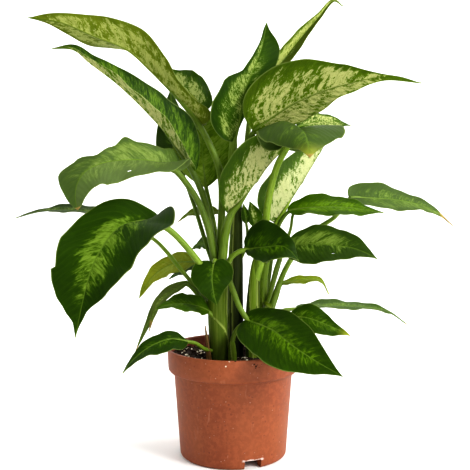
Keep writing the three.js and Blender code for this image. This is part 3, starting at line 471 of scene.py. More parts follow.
        "radii": [1.6, 2.2],
    },
    {
        "name": "leaf_low_right_thin",
        "rib": [[60, 38, 128], [95, 58, 127], [127, 76, 123], [158, 92, 115], [180, 102, 100]],
        "left": [[0, 0.99, 0.08]],
        "right": [[0, -0.95, -0.1]],
        "width": [15, 15],
        "stalk": [[46, 32, 126], [36, 22, 119], [29, 14, 108]],
        "radii": [1.5, 2],
    },
    {
        "name": "leaf_right_small_thin", "pale": True,
        "rib": [[44, 18, 154], [63, 24, 157], [82, 28, 156], [91, 30, 142]],
        "left": [[0, 0.8, 0.4]],
        "right": [[0, -0.8, -0.4]],
        "width": [5.5, 7],
        "stalk": [[41, 17, 142], [36, 16, 128], [29, 14, 114]],
        "radii": [1.2, 1.6],
    },
    {
        "name": "leaf_low_left",
        "rib": [[-40, -34, 111], [-54, -46, 115], [-70, -58, 111], [-82, -68, 103], [-91, -76, 93]],
        "left": [[0, -0.8, -0.5]],
        "right": [[0, 0.8, 0.5]],
        "width": [14, 8.5],
        "stalk": [[-33, -30, 108], [-25, -22, 101], [-14, -13, 97]],
        "radii": [1.4, 2],
    },
    {
        "name": "leaf_left_drooping", "pale": True,
        "rib": [[-42, 2, 159], [-57, -4, 152], [-67, -8, 142], [-75, -10, 125], [-88, -10, 97]],
        "left": [[0.7, -0.5, -0.3]],
        "right": [[-0.7, 0.5, 0.3]],
        "width": [4.6, 4.4],
        "stalk": [[-32, -2, 148], [-23, -8, 138], [-14, -12, 122]],
        "radii": [1.4, 2],
    },
    {
        "name": "leaf_left_drooping_short", "pale": True,
        "rib": [[-41, -8, 158], [-57, -14, 150], [-66, -17, 142], [-71, -18, 131], [-75, -18, 116]],
        "left": [[0.7, -0.5, -0.3]],
        "right": [[-0.7, 0.5, 0.3]],
        "width": [4.6, 4.6],
        "stalk": [[-32, -10, 148], [-22, -14, 136], [-14, -12, 120]],
        "radii": [1.4, 2],
    },
    {
        "name": "leaf_left_low_dark",
        "rib": [[-21, -20, 135], [-31, -24, 140], [-45, -28, 143], [-57, -30, 142], [-68, -32, 138]],
        "left": [[0, -0.85, -0.4]],
        "right": [[0, 0.85, 0.5]],
        "width": [13, 13],
        "stalk": [[-18, -18, 130], [-14, -13, 118]],
        "radii": [1.8, 2.2],
    },
    {
        "name": "leaf_young_narrow",
        "rib": [[12, 4, 211], [11, 4, 220], [9, 3, 229]],
        "left": [[-1, 0, 0]],
        "right": [[1, 0.2, 0]],
        "width": [4, 4], "curl": 0.2,
        "stalk": [[13, 5, 202], [11, 7, 188], [4, 11, 172]],
        "radii": [1.2, 1.6],
    },
    {
        "name": "leaf_young_folded", "pale": True,
        "rib": [[23, 9, 207], [19, 9, 220], [15, 8, 231]],
        "left": [[-0.9, 0, -0.3]],
        "right": [[0.9, 0.2, 0.3]],
        "width": [7, 7], "curl": 0.2,
        "stalk": [[24, 9, 196], [23, 6, 180], [19, 1, 162]],
        "radii": [1.2, 1.8],
    },
    {
        "name": "leaf_young_curled", "pale": True,
        "rib": [[27, 4, 132], [30, 1, 137], [37, 0, 133]],
        "left": [[0, 0.8, 0.4]],
        "right": [[0, -0.8, -0.4]],
        "width": [4, 4], "curl": 0.2,
        "stalk": [[27, 8, 128], [28, 13, 120]],
        "radii": [1, 1.4],
    },
]

# Markings of the leaves. cover: how much of each half is pale. reach: how far from the midrib
# the pale part goes. span: where it starts and ends along the rib. cream: 0 green, 1 cream.
# base: 0 dark, 1 light green. yellow: how yellow the blade has gone. ripe: how yellow its end
# has gone. tip: length of a dry tip. fine: how small the patches are. grey: how much painted sheen lies
# on it.
# streaked: how strongly dark streaks cut the patches. stalk: 0 dark, 1 bright green. holes: u
# and v of small holes. Two numbers are for the left and the right half.
PLAIN = {
    "cover": 0.35, "reach": 0.5, "span": [0.1, 0.85], "cream": 0.1, "base": 0.35, "yellow": 0.0,
    "ripe": 0.0, "tip": 0.0, "fine": 1.0, "grey": 0.0, "streaked": 0.0, "stalk": 0.5, "holes": [],
}
LOOKS = {
    "leaf_top_left_arching": {
        "cover": [0.73, 0.66], "reach": [0.95, 0.9], "span": [0, 0.93], "cream": 0.75,
        "yellow": 0.3, "fine": 1.9, "streaked": 0.45},
    "leaf_left_folded": {
        "cover": [0.74, 0.45], "reach": [1.3, 1.0], "span": [0, 0.9], "cream": [1.0, 0.05],
        "base": [0.9, 0.12], "fine": [1.3, 1.5], "streaked": 0.4, "stalk": 0.3},
    "leaf_left_broad": {
        "cover": [0.5, 0.62], "reach": [0.6, 0.9], "span": [0.1, 0.74], "cream": 0.3,
        "base": [0.85, 0.6], "tip": 0.02, "grey": [0.7, 0.4], "stalk": 0.4,
        "streaked": 0.45, "holes": [[0.42, -0.62]]},
    "leaf_top_left_behind": {
        "cover": [0.75, 0.7], "reach": [0.85, 0.8], "cream": 0.62, "base": 0.4, "fine": 2.3},
    "leaf_left_behind": {"cover": 0.2, "base": 0.25, "grey": 0.2, "stalk": 0.4},
    "leaf_centre_behind": {
        "cover": [0.65, 0.6], "reach": [1.2, 1.1], "span": [0, 1], "cream": 0.2, "base": 0.9,
        "yellow": 0.1, "streaked": 0.3},
    "leaf_top_upright": {
        "cover": [0.62, 0.34], "reach": [0.8, 0.5], "span": [0, 0.9], "cream": 0.44,
        "base": [0.24, 0.36], "fine": 2.2, "stalk": 0.65},
    "leaf_top_right_large": {
        "cover": [0.74, 0.76], "reach": [0.86, 1.1], "span": [0.04, 0.85], "cream": 0.9,
        "base": 0.65, "yellow": 0.08, "fine": 1.45, "streaked": [0.2, 0.6]},
    "leaf_top_narrow": {
        "cover": [0.8, 0.35], "reach": [0.9, 0.5], "span": [0, 1], "cream": 0.7, "base": [0.3, 0.05],
        "yellow": 0.15, "fine": 2.0, "streaked": [0.5, 0.4], "grey": [0.0, 0.1]},
    "leaf_centre_pale": {
        "cover": [0.76, 0.84], "reach": [0.8, 0.8], "span": [0, 0.85], "cream": 1.0,
        "base": 0.8, "fine": 2.4, "grey": 0.12},
    "leaf_facing_front": {
        "cover": [0.15, 0.3], "reach": [0.5, 0.8], "span": [0.3, 1],
        "base": 0.5, "tip": 0.06, "ripe": 0.9, "grey": 0.3, "stalk": 0.85},
    "leaf_right_behind": {
        "cover": 0.62, "reach": 0.9, "cream": 0.75, "base": 0.4, "fine": 2.0},
    "leaf_right_pale": {
        "cover": [0.12, 0.8], "reach": [0.6, 0.74], "span": [0, 0.95], "cream": 1.0,
        "base": [0.5, 0.7], "fine": 2.4, "stalk": 1.0, "grey": [0.0, 0.34]},
    "leaf_right_middle": {
        "cover": 0.4, "reach": 0.6, "cream": 0.0, "base": 0.8, "stalk": 0.3},
    "leaf_right_middle_behind": {"cover": 0.5, "cream": 0.3, "base": 0.8, "stalk": 0.6},
    "leaf_far_right": {
        "cover": [0.35, 0.42], "reach": [0.6, 0.9], "span": [0.15, 0.95], "cream": 0.2,
        "base": 0.45, "tip": 0.2, "grey": 0.3, "stalk": 0.6},
    "leaf_centre_right_dark": {
        "cover": [0.35, 0.3], "reach": [0.6, 0.5], "span": [0, 0.7], "cream": 0, "base": 0.28,
        "stalk": 0.6},
    "leaf_right_dark": {
        "cover": [0.64, 0.46], "reach": [0.75, 0.5], "span": [0.05, 0.7], "cream": 0.22,
        "base": 0.4, "holes": [[0.55, 0.45]], "grey": 0.1},
    "leaf_front_left_large": {
        "cover": [0.6, 0.64], "span": [0.12, 0.75], "cream": 0.12,
        "base": [0.25, 0.34], "stalk": 0.8, "fine": 0.95},
    "leaf_left_yellow": {
        "cover": 0.55, "reach": 0.9, "cream": 0.3, "base": 0.8, "yellow": 0.7, "streaked": 0.5,
        "stalk": 0.8},
    "leaf_left_small_dark": {"cover": 0.1, "base": 0.2},
    "leaf_left_small_round": {"cover": 0.3, "base": 0.6, "stalk": 0.6},
    "leaf_left_small_thin": {"cover": 0.4, "base": 0.7, "yellow": 0.3, "tip": 0.1},
    "leaf_far_left": {
        "cover": [0.3, 0.45], "reach": 0.6, "cream": 0.2, "base": 0.2, "grey": 0.1, "stalk": 0.7},
    "leaf_front_heart": {"cover": [0.25, 0.15], "reach": 0.4, "base": 0.4, "stalk": 0.6},
    "leaf_front_right_large": {
        "cover": 0.46, "span": [0.05, 0.8], "cream": 0.0, "base": 0.42, "stalk": 0.6},
    "leaf_low_right": {"cover": 0.3, "base": 0.5, "tip": 0.02, "ripe": 0.9, "stalk": 0.7},
    "leaf_low_right_thin": {
        "cover": 0.4, "cream": 0.2, "base": 0.55, "tip": 0.04, "grey": 0.1},
    "leaf_right_small_thin": {"cover": 0.4, "base": 0.8, "yellow": 0.4, "ripe": 0.6},
    "leaf_low_left": {"cover": 0.15, "base": 0.25, "stalk": 0.6},
    "leaf_left_drooping": {
        "cover": 0.5, "cream": 0.4, "base": 0.6, "yellow": 0.15, "grey": 0.25, "tip": 0.08},
    "leaf_left_drooping_short": {
        "cover": 0.5, "cream": 0.4, "base": 0.6, "yellow": 0.2, "grey": 0.25, "tip": 0.22},
    "leaf_left_low_dark": {"cover": 0.2, "base": 0.85, "stalk": 0.6},
    "leaf_young_narrow": {"cover": 0.3, "base": 0.5},
    "leaf_young_folded": {"cover": 0.6, "cream": 0.8, "base": 0.6},
    "leaf_young_curled": {"cover": 0.3, "base": 0.9, "yellow": 0.3},
}

# Colours as on a screen
COLOURS = {
    "white": (255, 255, 255),
    "deep_leaf": (22, 52, 0),
    "olive_leaf": (82, 116, 0),
    "deep_halo": (54, 92, 0),
    "olive_halo": (112, 146, 6),
    "feather_green": (128, 164, 36),
    "cream": (228, 226, 158),
    "vein_shade": (150, 168, 120),
    "vein_line": (126, 156, 62),
    "leaf_cloud": (196, 202, 180),
    "leaf_yellow": (180, 182, 54),
    # Painted sheen on the leaves: a pale green, and milky over the pale patches
    "painted_sheen_green": (124, 138, 92),
    "painted_milky_sheen": (222, 228, 206),
    "rib_green": (118, 146, 52),
    "rib_olive": (86, 114, 16),
    "margin_line": (150, 164, 92),
    "drying": (206, 190, 84),
    "dried": (160, 134, 84),
    "under_side": (138, 156, 84),
    "light_in_leaf": (150, 186, 44),
    "dark_stalk": (48, 70, 6),
    "bright_stalk": (134, 164, 44),
    "dark_stalk_line": (82, 106, 20),
    "bright_stalk_line": (172, 192, 86),
    "stalk_spot": (66, 90, 12),
    "stalk_yellow": (176, 176, 70),
    "light_in_stalk": (150, 176, 50),
    "dark_cane": (18, 26, 3),
    "bright_cane": (140, 172, 34),
    "dark_cane_line": (44, 50, 14),
    "bright_cane_line": (186, 208, 90),
    "cane_cloud": (150, 156, 130),
    "sheath_margin": (176, 190, 104),
    "dark_dry_sheath": (84, 62, 34),
    "dry_sheath": (142, 112, 66),
    "terracotta_dark": (130, 66, 34),
    "terracotta": (142, 78, 42),
    "terracotta_fleck": (166, 94, 58),
    "terracotta_drip": (196, 136, 106),
    "terracotta_scratch": (210, 166, 140),
    "terracotta_pit": (104, 50, 30),
    "pot_dust": (212, 178, 156),
    "chipped_plastic": (226, 214, 206),
    # Painted shade inside the rim band
    "painted_rim_shade": (122, 48, 32),
    "wet_peat": (20, 13, 9),
    "peat": (66, 46, 32),
    "peat_fibre": (112, 82, 54),
    "perlite": (236, 228, 208),
    "stained_perlite": (176, 156, 122),
    "floor": (243, 243, 242),
    "floor_light": (247, 247, 246),
}


# Lights: name, place, the place it shines at, size and power
WORLD_LIGHT = 0.22
LIGHTS = [
    ("key_right", (1.3, -0.95, 1.15), (0, 0, 0.2), 0.8, 28),
    ("fill_left", (-1.2, -1.3, 0.9), (0, 0, 0.2), 1.0, 2),
    ("fill_low", (0.7, -1.5, 0.3), (0, 0, 0.15), 1.2, 7),
    ("top_back", (0.0, 0.9, 1.8), (0, 0, 0.25), 2.4, 14),
    ("backdrop_left", (-1.6, 0.6, 1.2), (-0.3, 2.2, 0.6), 1.0, 24),
    ("backdrop_right", (1.6, 0.6, 1.2), (0.3, 2.2, 0.6), 1.0, 24),
]


def linear(colour):
    """A colour given as on a screen, 0 to 255, as Blender's linear values."""
    steps = [value / 255 for value in colour]
    bent = [s / 12.92 if s <= 0.04045 else ((s + 0.055) / 1.055) ** 2.4 for s in steps]
    return (*bent, 1.0)


class Wire:
    """A socket of a material's tree. Arithmetic on it adds nodes to the tree."""

    def __init__(self, tree, socket):
        self.tree = tree
        self.socket = socket

    def maths(self, operation, *values):
        node = self.tree.nodes.new("ShaderNodeMath")
        node.operation = operation
        for slot, value in zip(node.inputs, values):
            join(self.tree, slot, value)
        return Wire(self.tree, node.outputs[0])

    def __add__(self, other):
        return self.maths("ADD", self, other)

    def __radd__(self, other):
        return self.maths("ADD", other, self)

    def __sub__(self, other):
        return self.maths("SUBTRACT", self, other)

    def __rsub__(self, other):
        return self.maths("SUBTRACT", other, self)

    def __mul__(self, other):
        return self.maths("MULTIPLY", self, other)

    def __rmul__(self, other):
        return self.maths("MULTIPLY", other, self)

    def __truediv__(self, other):
        return self.maths("DIVIDE", self, other)

    def __pow__(self, other):
        return self.maths("POWER", self, other)

    def away(self):
        return self.maths("ABSOLUTE", self)

    def wave(self):
        return self.maths("SINE", self)

    def clamped(self):
        return self.maths("MINIMUM", self.maths("MAXIMUM", self, 0.0), 1.0)

    def above(self, level, steepness):
        """0 well under the level, 1 well over it, and 0.5 at it."""
        return ((self - level) * steepness + 0.5).clamped()


def join(tree, slot, value):
    """Links a wire to the slot, or sets it to a number, a vector or a named colour."""
    if isinstance(value, Wire):
        tree.links.new(value.socket, slot)
    else:
        slot.default_value = linear(COLOURS[value]) if isinstance(value, str) else value


class Look:
    """A material whose nodes are added by calls."""

    def __init__(self, name):
        self.material = bpy.data.materials.new(name)
        self.material.use_nodes = True
        self.tree = self.material.node_tree
        self.tree.nodes.clear()

    def node(self, kind, settings=None, values=None, output=0):
        made = self.tree.nodes.new(kind)
        for key, value in (settings or {}).items():
            setattr(made, key, value)
        for key, value in (values or {}).items():
            join(self.tree, made.inputs[key], value)
        return Wire(self.tree, made.outputs[output])

    def place(self):
        return self.node("ShaderNodeTexCoord", output="Object")

    def uv(self, name):
        return self.node("ShaderNodeUVMap", {"uv_map": name})

    def attribute(self, name):
        return self.node("ShaderNodeAttribute", {"attribute_name": name}, output="Vector")

    def parts(self, vector):
        made = self.tree.nodes.new("ShaderNodeSeparateXYZ")
        join(self.tree, made.inputs[0], vector)
        return [Wire(self.tree, socket) for socket in made.outputs]

    def vector(self, x, y, z=0.0):
        return self.node("ShaderNodeCombineXYZ", values={0: x, 1: y, 2: z})

    def stretched(self, vector, scale):
        return self.node("ShaderNodeVectorMath", {"operation": "MULTIPLY"}, {0: vector, 1: scale})

    def grain(self, vector, scale, detail=2.0, roughness=0.55, distortion=0.0):
        return self.node("ShaderNodeTexNoise", values={
            "Vector": vector, "Scale": scale, "Detail": detail, "Roughness": roughness,
            "Distortion": distortion})

    def mix(self, share, first, second):
        return self.node("ShaderNodeMix", {"data_type": "RGBA"},
                         {0: share, 6: first, 7: second}, output=2)

    def shade(self, share, first, second):
        """Multiplies the first colour by the second one, by that share."""
        return self.node("ShaderNodeMix", {"data_type": "RGBA", "blend_type": "MULTIPLY"},
                         {0: share, 6: first, 7: second}, output=2)

    def bump(self, height, distance, strength=1.0):
        return self.node("ShaderNodeBump", values={
            "Height": height, "Distance": distance, "Strength": strength})

    def finish(self, colour, roughness, normal, shine, glow=None):
        """The material itself. glow: the share and the colour of light that comes through."""
        shader = self.node("ShaderNodeBsdfPrincipled", values={
            "Base Color": colour, "Roughness": roughness, "Normal": normal,
            "Specular IOR Level": shine})
        if glow:
            through = self.node("ShaderNodeBsdfTranslucent", values={"Color": glow[1]})
            shader = self.node("ShaderNodeMixShader", values={0: glow[0], 1: shader, 2: through})
        made = self.tree.nodes.new("ShaderNodeOutputMaterial")
        self.tree.links.new(shader.socket, made.inputs["Surface"])
        return self.material


def leaf_skin(name, under):
    """A leaf's upper or under side: pale feathered or ragged patches along its veins, and painted sheen
    on some leaves.
    """
    look = Look(name)
    across = look.parts(look.uv("blade"))[1]
    vein, out = look.parts(look.uv("veins"))[:2]
    cover, cream, off_rib = look.parts(look.attribute("marks"))
    base, yellow, brown = look.parts(look.attribute("tone"))
    fine, grey, streaked = look.parts(look.attribute("cast"))
    fine_vein, fine_out = vein * fine, out * fine
    islands = look.grain(look.vector(fine_vein * 0.6, fine_out * 0.66), 1.0, 6.0, 0.74, 0.25)
    feathers = look.grain(look.vector(fine_vein * 1.7, fine_out * 0.62, 9.0), 1.0, 6.0, 0.74, 0.8)
    flecks = look.grain(look.vector(fine_vein * 3.4, fine_out * 2.4, 3.0), 1.0, 3.0, 0.65, 0.3)
    streaks = look.grain(look.vector(vein * 2.4, out * 0.6, 5.0), 1.0, 4.0, 0.8, 0.4)
    broad = look.grain(look.vector(vein * 0.28, out * 0.22, 7.0), 1.0, 1.0)
    crisp = cream.above(0.5, 2.5)
    pattern = feathers + (islands - feathers) * crisp
    pattern = pattern + (flecks - 0.5) * (crisp * 0.06 + 0.28)
    pattern = pattern + (streaks - 0.5) * streaked
    level = 0.70 - cover * 0.30 + (broad - 0.5) * (0.34 - crisp * 0.06)
    sharpness = 6.0 + crisp * 20.0
    pale = ((pattern - level) * sharpness + 0.5).clamped() * cover.above(0.06, 14.0)
    middle = pattern.above(level - 0.09, 6.0) * cover.above(0.03, 14.0)
    dark_green = look.mix(base, "deep_leaf", "olive_leaf")
    mid_green = look.mix(base, "deep_halo", "olive_halo")
    pale_green = look.mix(cream, "feather_green", "cream")
    shades = look.mix(streaks.above(0.5, 3.5), "vein_shade", "white")
    veined = look.shade(0.6, dark_green, shades)
    colour = look.mix(middle * 0.85, veined, mid_green)
    colour = look.mix(pale * 0.96, colour, pale_green)
    pits = flecks.above(0.6, 12.0) * crisp * 0.55
    colour = look.mix(pits, colour, mid_green)
    dark_streaks = streaks.above(0.55, 10.0) * streaked
    colour = look.mix(dark_streaks, colour, dark_green)
    ridge = (vein * (2 * math.pi)).wave()
    lines = ridge.above(0.93, 10.0) * (1.0 - pale) * broad
    colour = look.mix(lines * 0.14, colour, "vein_line")
    clouds = look.mix(broad, "leaf_cloud", "white")
    colour = look.shade(0.6, colour, clouds)
    colour = look.mix(yellow * (broad + 0.3).clamped(), colour, "leaf_yellow")
    # Painted sheen: a pale green, or milky over the pale patches of cream leaves, laid on by each
    # leaf's grey amount in broad patches
    sheen = look.mix(crisp, "painted_sheen_green", "painted_milky_sheen")
    shown = (broad * 0.6 + 0.5) * (1.0 - crisp * (1.0 - pale) * 0.88)
    colour = look.mix(grey * shown, colour, sheen)
    rib = 1.0 - off_rib.above(0.75, 1.8)
    colour = look.mix(rib * 0.6, colour, look.mix(crisp, "rib_green", "rib_olive"))
    edge = (across * 2.0 - 1.0).away().above(0.975, 60.0)
    colour = look.mix(edge * 0.5, colour, "margin_line")
    dry = (brown + (flecks - 0.5) * 0.9).above(0.6, 4.0)
    colour = look.mix(dry, colour, look.mix(brown, "drying", "dried"))
    pores = look.grain(look.vector(vein * 16.0, out * 16.0), 1.0, 2.0, 0.6)
    height = ridge * 0.3 + pores * 0.25 + broad * 0.9 + feathers * 0.5
    normal = look.bump(height, 0.00035, 0.6)
    if under:
        colour = look.mix(0.05, colour, "under_side")
        roughness = 0.46 + pores * 0.16
        shine = 0.1
    else:
        roughness = 0.42 + pores * 0.14 + broad * 0.12 + dry * 0.3
        shine = 0.14
    return look.finish(colour, roughness, normal, shine, (0.2, "light_in_leaf"))


def stalk_skin(name):
    """Stalks: streaked green, paler along the sheath."""
    look = Look(name)
    length, turn = look.parts(look.uv("blade"))[:2]
    base, yellow = look.parts(look.attribute("tone"))[:2]
    streaks = look.grain(look.vector(length * 0.35, turn * 26.0), 1.0, 3.0, 0.6)
    spots = look.grain(look.vector(length * 1.6, turn * 9.0, 5.0), 1.0, 2.0, 0.6)
    green = look.mix(base, "dark_stalk", "bright_stalk")
    light = look.mix(base, "dark_stalk_line", "bright_stalk_line")
    colour = look.mix(streaks.above(0.55, 7.0) * 0.6, green, light)
    colour = look.mix(spots.above(0.62, 9.0) * 0.5, colour, "stalk_spot")
    colour = look.mix(yellow * 0.5, colour, "stalk_yellow")
    normal = look.bump(streaks, 0.0003, 0.6)
    roughness = 0.38 + spots * 0.2
    return look.finish(colour, roughness, normal, 0.4, (0.15, "light_in_stalk"))


def cane_skin(name):
    """Canes and their sheaths: green with fine lines along them, dark or light by each cane's tone, and
    brown where the sheaths are dry.
    """
    look = Look(name)
    length, turn = look.parts(look.uv("blade"))[:2]
    base, seam, brown = look.parts(look.attribute("tone"))
    streaks = look.grain(look.vector(length * 0.25, turn * 40.0), 1.0, 3.0, 0.6)
    broad = look.grain(look.vector(length * 0.5, turn * 5.0, 2.0), 1.0, 2.0, 0.6)
    green = look.mix(base, "dark_cane", "bright_cane")
    light = look.mix(base, "dark_cane_line", "bright_cane_line")
    colour = look.mix(streaks.above(0.52, 6.0) * 0.55, green, light)
    clouds = look.mix(broad, "cane_cloud", "white")
    colour = look.shade(0.8, colour, clouds)
    colour = look.mix(seam * 0.85, colour, "sheath_margin")
    dry = look.mix(streaks.above(0.5, 4.0), "dark_dry_sheath", "dry_sheath")
    colour = look.mix((brown + (streaks - 0.5)).above(0.55, 5.0), colour, dry)
    normal = look.bump(streaks, 0.0004, 0.6)
    roughness = 0.46 + broad * 0.2
    return look.finish(colour, roughness, normal, 0.2)


def pot_skin():
    """Moulded terracotta-coloured plastic with scuffs and dust, and painted shade inside the rim band.
    """
    look = Look("terracotta_plastic")
    place = look.place()
    x, y, z = look.parts(place)
    broad = look.grain(place, 22.0, 2.0, 0.5)
    mottle = look.grain(place, 240.0, 3.0, 0.65)
    drips = look.grain(look.stretched(place, (1.0, 1.0, 0.22)), 150.0, 3.0, 0.65)
    specks = look.node("ShaderNodeTexVoronoi", values={"Vector": place, "Scale": 210.0})
    scratches = look.grain(look.stretched(place, (1.0, 1.0, 0.12)), 420.0, 2.0, 0.7, 0.6)
    colour = look.mix(broad.above(0.5, 3.0), "terracotta_dark", "terracotta")
    colour = look.mix(mottle.above(0.52, 5.0) * 0.4, colour, "terracotta_fleck")
    colour = look.mix(drips.above(0.68, 12.0) * 0.25, colour, "terracotta_drip")
    colour = look.mix(scratches.above(0.75, 16.0) * 0.4, colour, "terracotta_scratch")
    dots = (1.0 - specks.above(0.2, 14.0)) * mottle.above(0.52, 10.0)
    colour = look.mix(dots * 0.55, colour, "terracotta_pit")
    dust = (1.0 - specks.above(0.1, 20.0)) * (1.0 - mottle.above(0.5, 8.0))
    colour = look.mix(dust * 0.4, colour, "pot_dust")
    chip_x, chip_y = CHIPPED_PLACE
    away = ((x - chip_x) ** 2 + (y - chip_y) ** 2) ** 0.5
    low, high, ragged = CHIPPED_BAND
    band = (mottle * ragged + high - z).above(0.0, 1500.0) * z.above(low, 1500.0)
    chipped = (CHIPPED_REACH - away).above(0.0, 500.0) * band
    colour = look.mix(chipped * 0.85, colour, "chipped_plastic")
    # Painted shade: the inside of the rim band, above the soil, is made darker and redder
    outside = ((x * x + y * y) ** 0.5).above(INNER_RIM_RADIUS, 4000.0)
    rim_inside_shade = (1.0 - outside) * z.above(INNER_RIM_FOOT, 2000.0)
    colour = look.mix(rim_inside_shade * 0.55, colour, "painted_rim_shade")
    normal = look.bump(mottle * 0.5 + drips * 0.3, 0.00012, 0.5)
    roughness = 0.42 + mottle * 0.25
    return look.finish(colour, roughness, normal, 0.45)


def soil_skin():
    """Dark, rough peat with fibres."""
    look = Look("dark_peat")
    place = look.place()
    lumps = look.grain(place, 260.0, 4.0, 0.65)
    fibres = look.grain(look.stretched(place, (1.0, 0.3, 1.0)), 700.0, 3.0, 0.7)
    colour = look.mix(lumps, "wet_peat", "peat")
    colour = look.mix(fibres.above(0.64, 12.0) * 0.6, colour, "peat_fibre")
    normal = look.bump(lumps + fibres * 0.6, 0.0008, 0.9)
    return look.finish(colour, 0.82 + lumps * 0.16, normal, 0.3)


def perlite_skin():
    """White grains, stained in places."""
    look = Look("white_perlite")
    place = look.place()
    lumps = look.grain(place, 900.0, 3.0, 0.6)
    stain = look.grain(place, 160.0, 2.0, 0.6)
    colour = look.mix(stain.above(0.55, 4.0), "perlite", "stained_perlite")
    normal = look.bump(lumps, 0.0004, 0.8)
    return look.finish(colour, 0.75 + lumps * 0.2, normal, 0.5)


def floor_skin():
    """A plain pale sheet."""
    look = Look("pale_floor")
    place = look.place()
    grain = look.grain(place, 6.0, 3.0, 0.6)
    colour = look.mix(grain, "floor", "floor_light")
    normal = look.bump(grain, 0.0001, 0.1)
    return look.finish(colour, 0.75 + grain * 0.1, normal, 0.1)


class Curve:
    """The smooth curve of the CAD source through its places: centripetal, open."""

    DIVISIONS = 200
    STEP = 1e-4

    def __init__(self, places):
        own = np.array([place[:3] for place in places], float)
        before = 2 * own[0] - own[1]
        after = 2 * own[-1] - own[-2]
        self.places = np.vstack([before, own, after])
        self.spans = len(own) - 1
        shares = np.linspace(0, 1, self.DIVISIONS + 1)
        gaps = np.linalg.norm(np.diff(self.at(shares), axis=0), axis=1)
        self.shares = shares
        self.lengths = np.concatenate([[0], np.cumsum(gaps)])
        self.length = self.lengths[-1]

    def at(self, shares):
        """Points at shares of the curve's parameter."""
        scaled = np.clip(np.asarray(shares, float), 0, 1) * self.spans
        index = np.minimum(scaled.astype(int), self.spans - 1)
        w = (scaled - index)[:, None]
        p0, p1, p2, p3 = (self.places[index + k] for k in range(4))
        gap0, gap1, gap2 = (
            np.sum((b - a) ** 2, axis=1)[:, None] ** 0.25
            for a, b in ((p0, p1), (p1, p2), (p2, p3))
        )
        lean1 = (p1 - p0) / gap0 - (p2 - p0) / (gap0 + gap1) + (p2 - p1) / gap1
        lean2 = (p2 - p1) / gap1 - (p3 - p1) / (gap1 + gap2) + (p3 - p2) / gap2
        t1 = lean1 * gap1
        t2 = lean2 * gap1
        square = -3 * p1 + 3 * p2 - 2 * t1 - t2
        cube = 2 * p1 - 2 * p2 + t1 + t2
        return p1 + t1 * w + square * w**2 + cube * w**3

    def share(self, u):
        """The curve's parameter at shares of its length."""
        return np.interp(np.asarray(u, float) * self.length, self.lengths, self.shares)

    def place(self, u):
        """Points at shares of the curve's length."""
        return self.at(self.share(u))

    def ahead(self, u):
        """Directions at shares of the curve's length."""
        share = self.share(u)
        late = np.minimum(share + self.STEP, 1)
        early = np.maximum(share - self.STEP, 0)
        return unit(self.at(late) - self.at(early))


def unit(vectors):
    """The vectors at length 1."""
    return vectors / np.maximum(np.linalg.norm(vectors, axis=-1, keepdims=True), 1e-12)


def dot(a, b):
    """Dot products of two lists of vectors, as a column."""
    return np.sum(a * b, axis=-1, keepdims=True)


def polar(radius, angle):
    """x and y of a place round the pot's axis."""
    return radius * math.cos(angle), radius * math.sin(angle)


def ring_of(radius, z, sides):
    """Places of a level ring round the pot's axis."""
    return [(*polar(radius, 2 * math.pi * s / sides), z) for s in range(sides)]


def eased(x):
    """0 below 0 and 1 above 1, with a soft rise between them."""
    x = np.clip(x, 0, 1)
    return x * x * (3 - 2 * x)


def along(keys, u, soft=False):
    """Values along keys spread evenly over 0 to 1. A single key holds all the way."""
    table = np.array(keys if len(keys) > 1 else keys * 2, float)
    place = np.clip(u, 0, 1) * (len(table) - 1)
    index = np.minimum(place.astype(int), len(table) - 2)
    share = eased(place - index) if soft else place - index
    share = share.reshape(-1, *[1] * (table.ndim - 1))
    return table[index] * (1 - share) + table[index + 1] * share


def outline(u, leaf, half):
    """The width of one half of a blade, as a share of its greatest width."""
    rise = leaf.get("rise", [PLAIN_RISE] * 2)[half]
    fall = leaf.get("fall", [PLAIN_FALL] * 2)[half]
    widest = rise / (rise + fall)
    full = (u / widest) ** rise * ((1 - u) / (1 - widest)) ** fall
    return full * along(leaf["trim"][half], u, soft=True) if "trim" in leaf else full


def half_width(u, leaf, half):
    """The width of one half of a blade in millimetres, with its nick."""
    width = leaf["width"][half] * outline(u, leaf, half)
    if "nick" in leaf and leaf["nick"]["half"] == half:
        start, end = leaf["nick"]["span"]
        cut = np.where(u < end, np.maximum(0, u - start) / (end - start), 0)
        width = width - leaf["nick"]["depth"] * cut
    return np.maximum(width, MARGIN_WIDTH * (1 - 0.75 * u))


def wave(shape, u, shift):
    """Height of a wave at shares u of the blade's length."""
    return shape["height"] * np.sin(2 * math.pi * (shape["waves"] * u + shift))


def surface(leaf, rib, u, v, order):
    """The blade's middle surface over shares u along the rib and v across it, -1 to 1."""
    middle = rib.place(u)
    ahead = rib.ahead(u)
    grid = np.zeros((len(u), len(v), 3))
    off = np.zeros((len(u), len(v)))
    for j, value in enumerate(v):
        half = 0 if value < 0 else 1
        reach = abs(value)
        out = along(leaf["left"] if half == 0 else leaf["right"], u)
        out = unit(out - ahead * dot(out, ahead))
        up = np.cross(ahead, out) if half == 0 else np.cross(out, ahead)
        width = half_width(u, leaf, half)
        ripple = wave(RIPPLE, u, RIPPLE["shift"] + RIPPLE["by_half"] * half)
        frill = wave(FRILL, u, FRILL["by_leaf"] * order + FRILL["by_half"] * half) * reach**4
        lift = width * leaf.get("curl", PLAIN_CURL) * reach**2
        if "arch" in leaf:
            lift = lift + leaf["arch"][half] * math.sin(math.pi * reach**0.6) * (1 - u) ** 2
        lift = lift + (ripple * reach**2 + frill) * np.minimum(1, width / RIPPLE["full_width"])
        point = middle + out * (width * reach)[:, None] + up * lift[:, None]
        if "lobe" in leaf:
            share = np.sqrt(np.minimum(1, u / LOBE_LENGTH))
            point = point - ahead * (4 * leaf["lobe"][half] * reach * share * (1 - share))[:, None]
        grid[:, j] = point
        off[:, j] = width * reach
    return grid, off


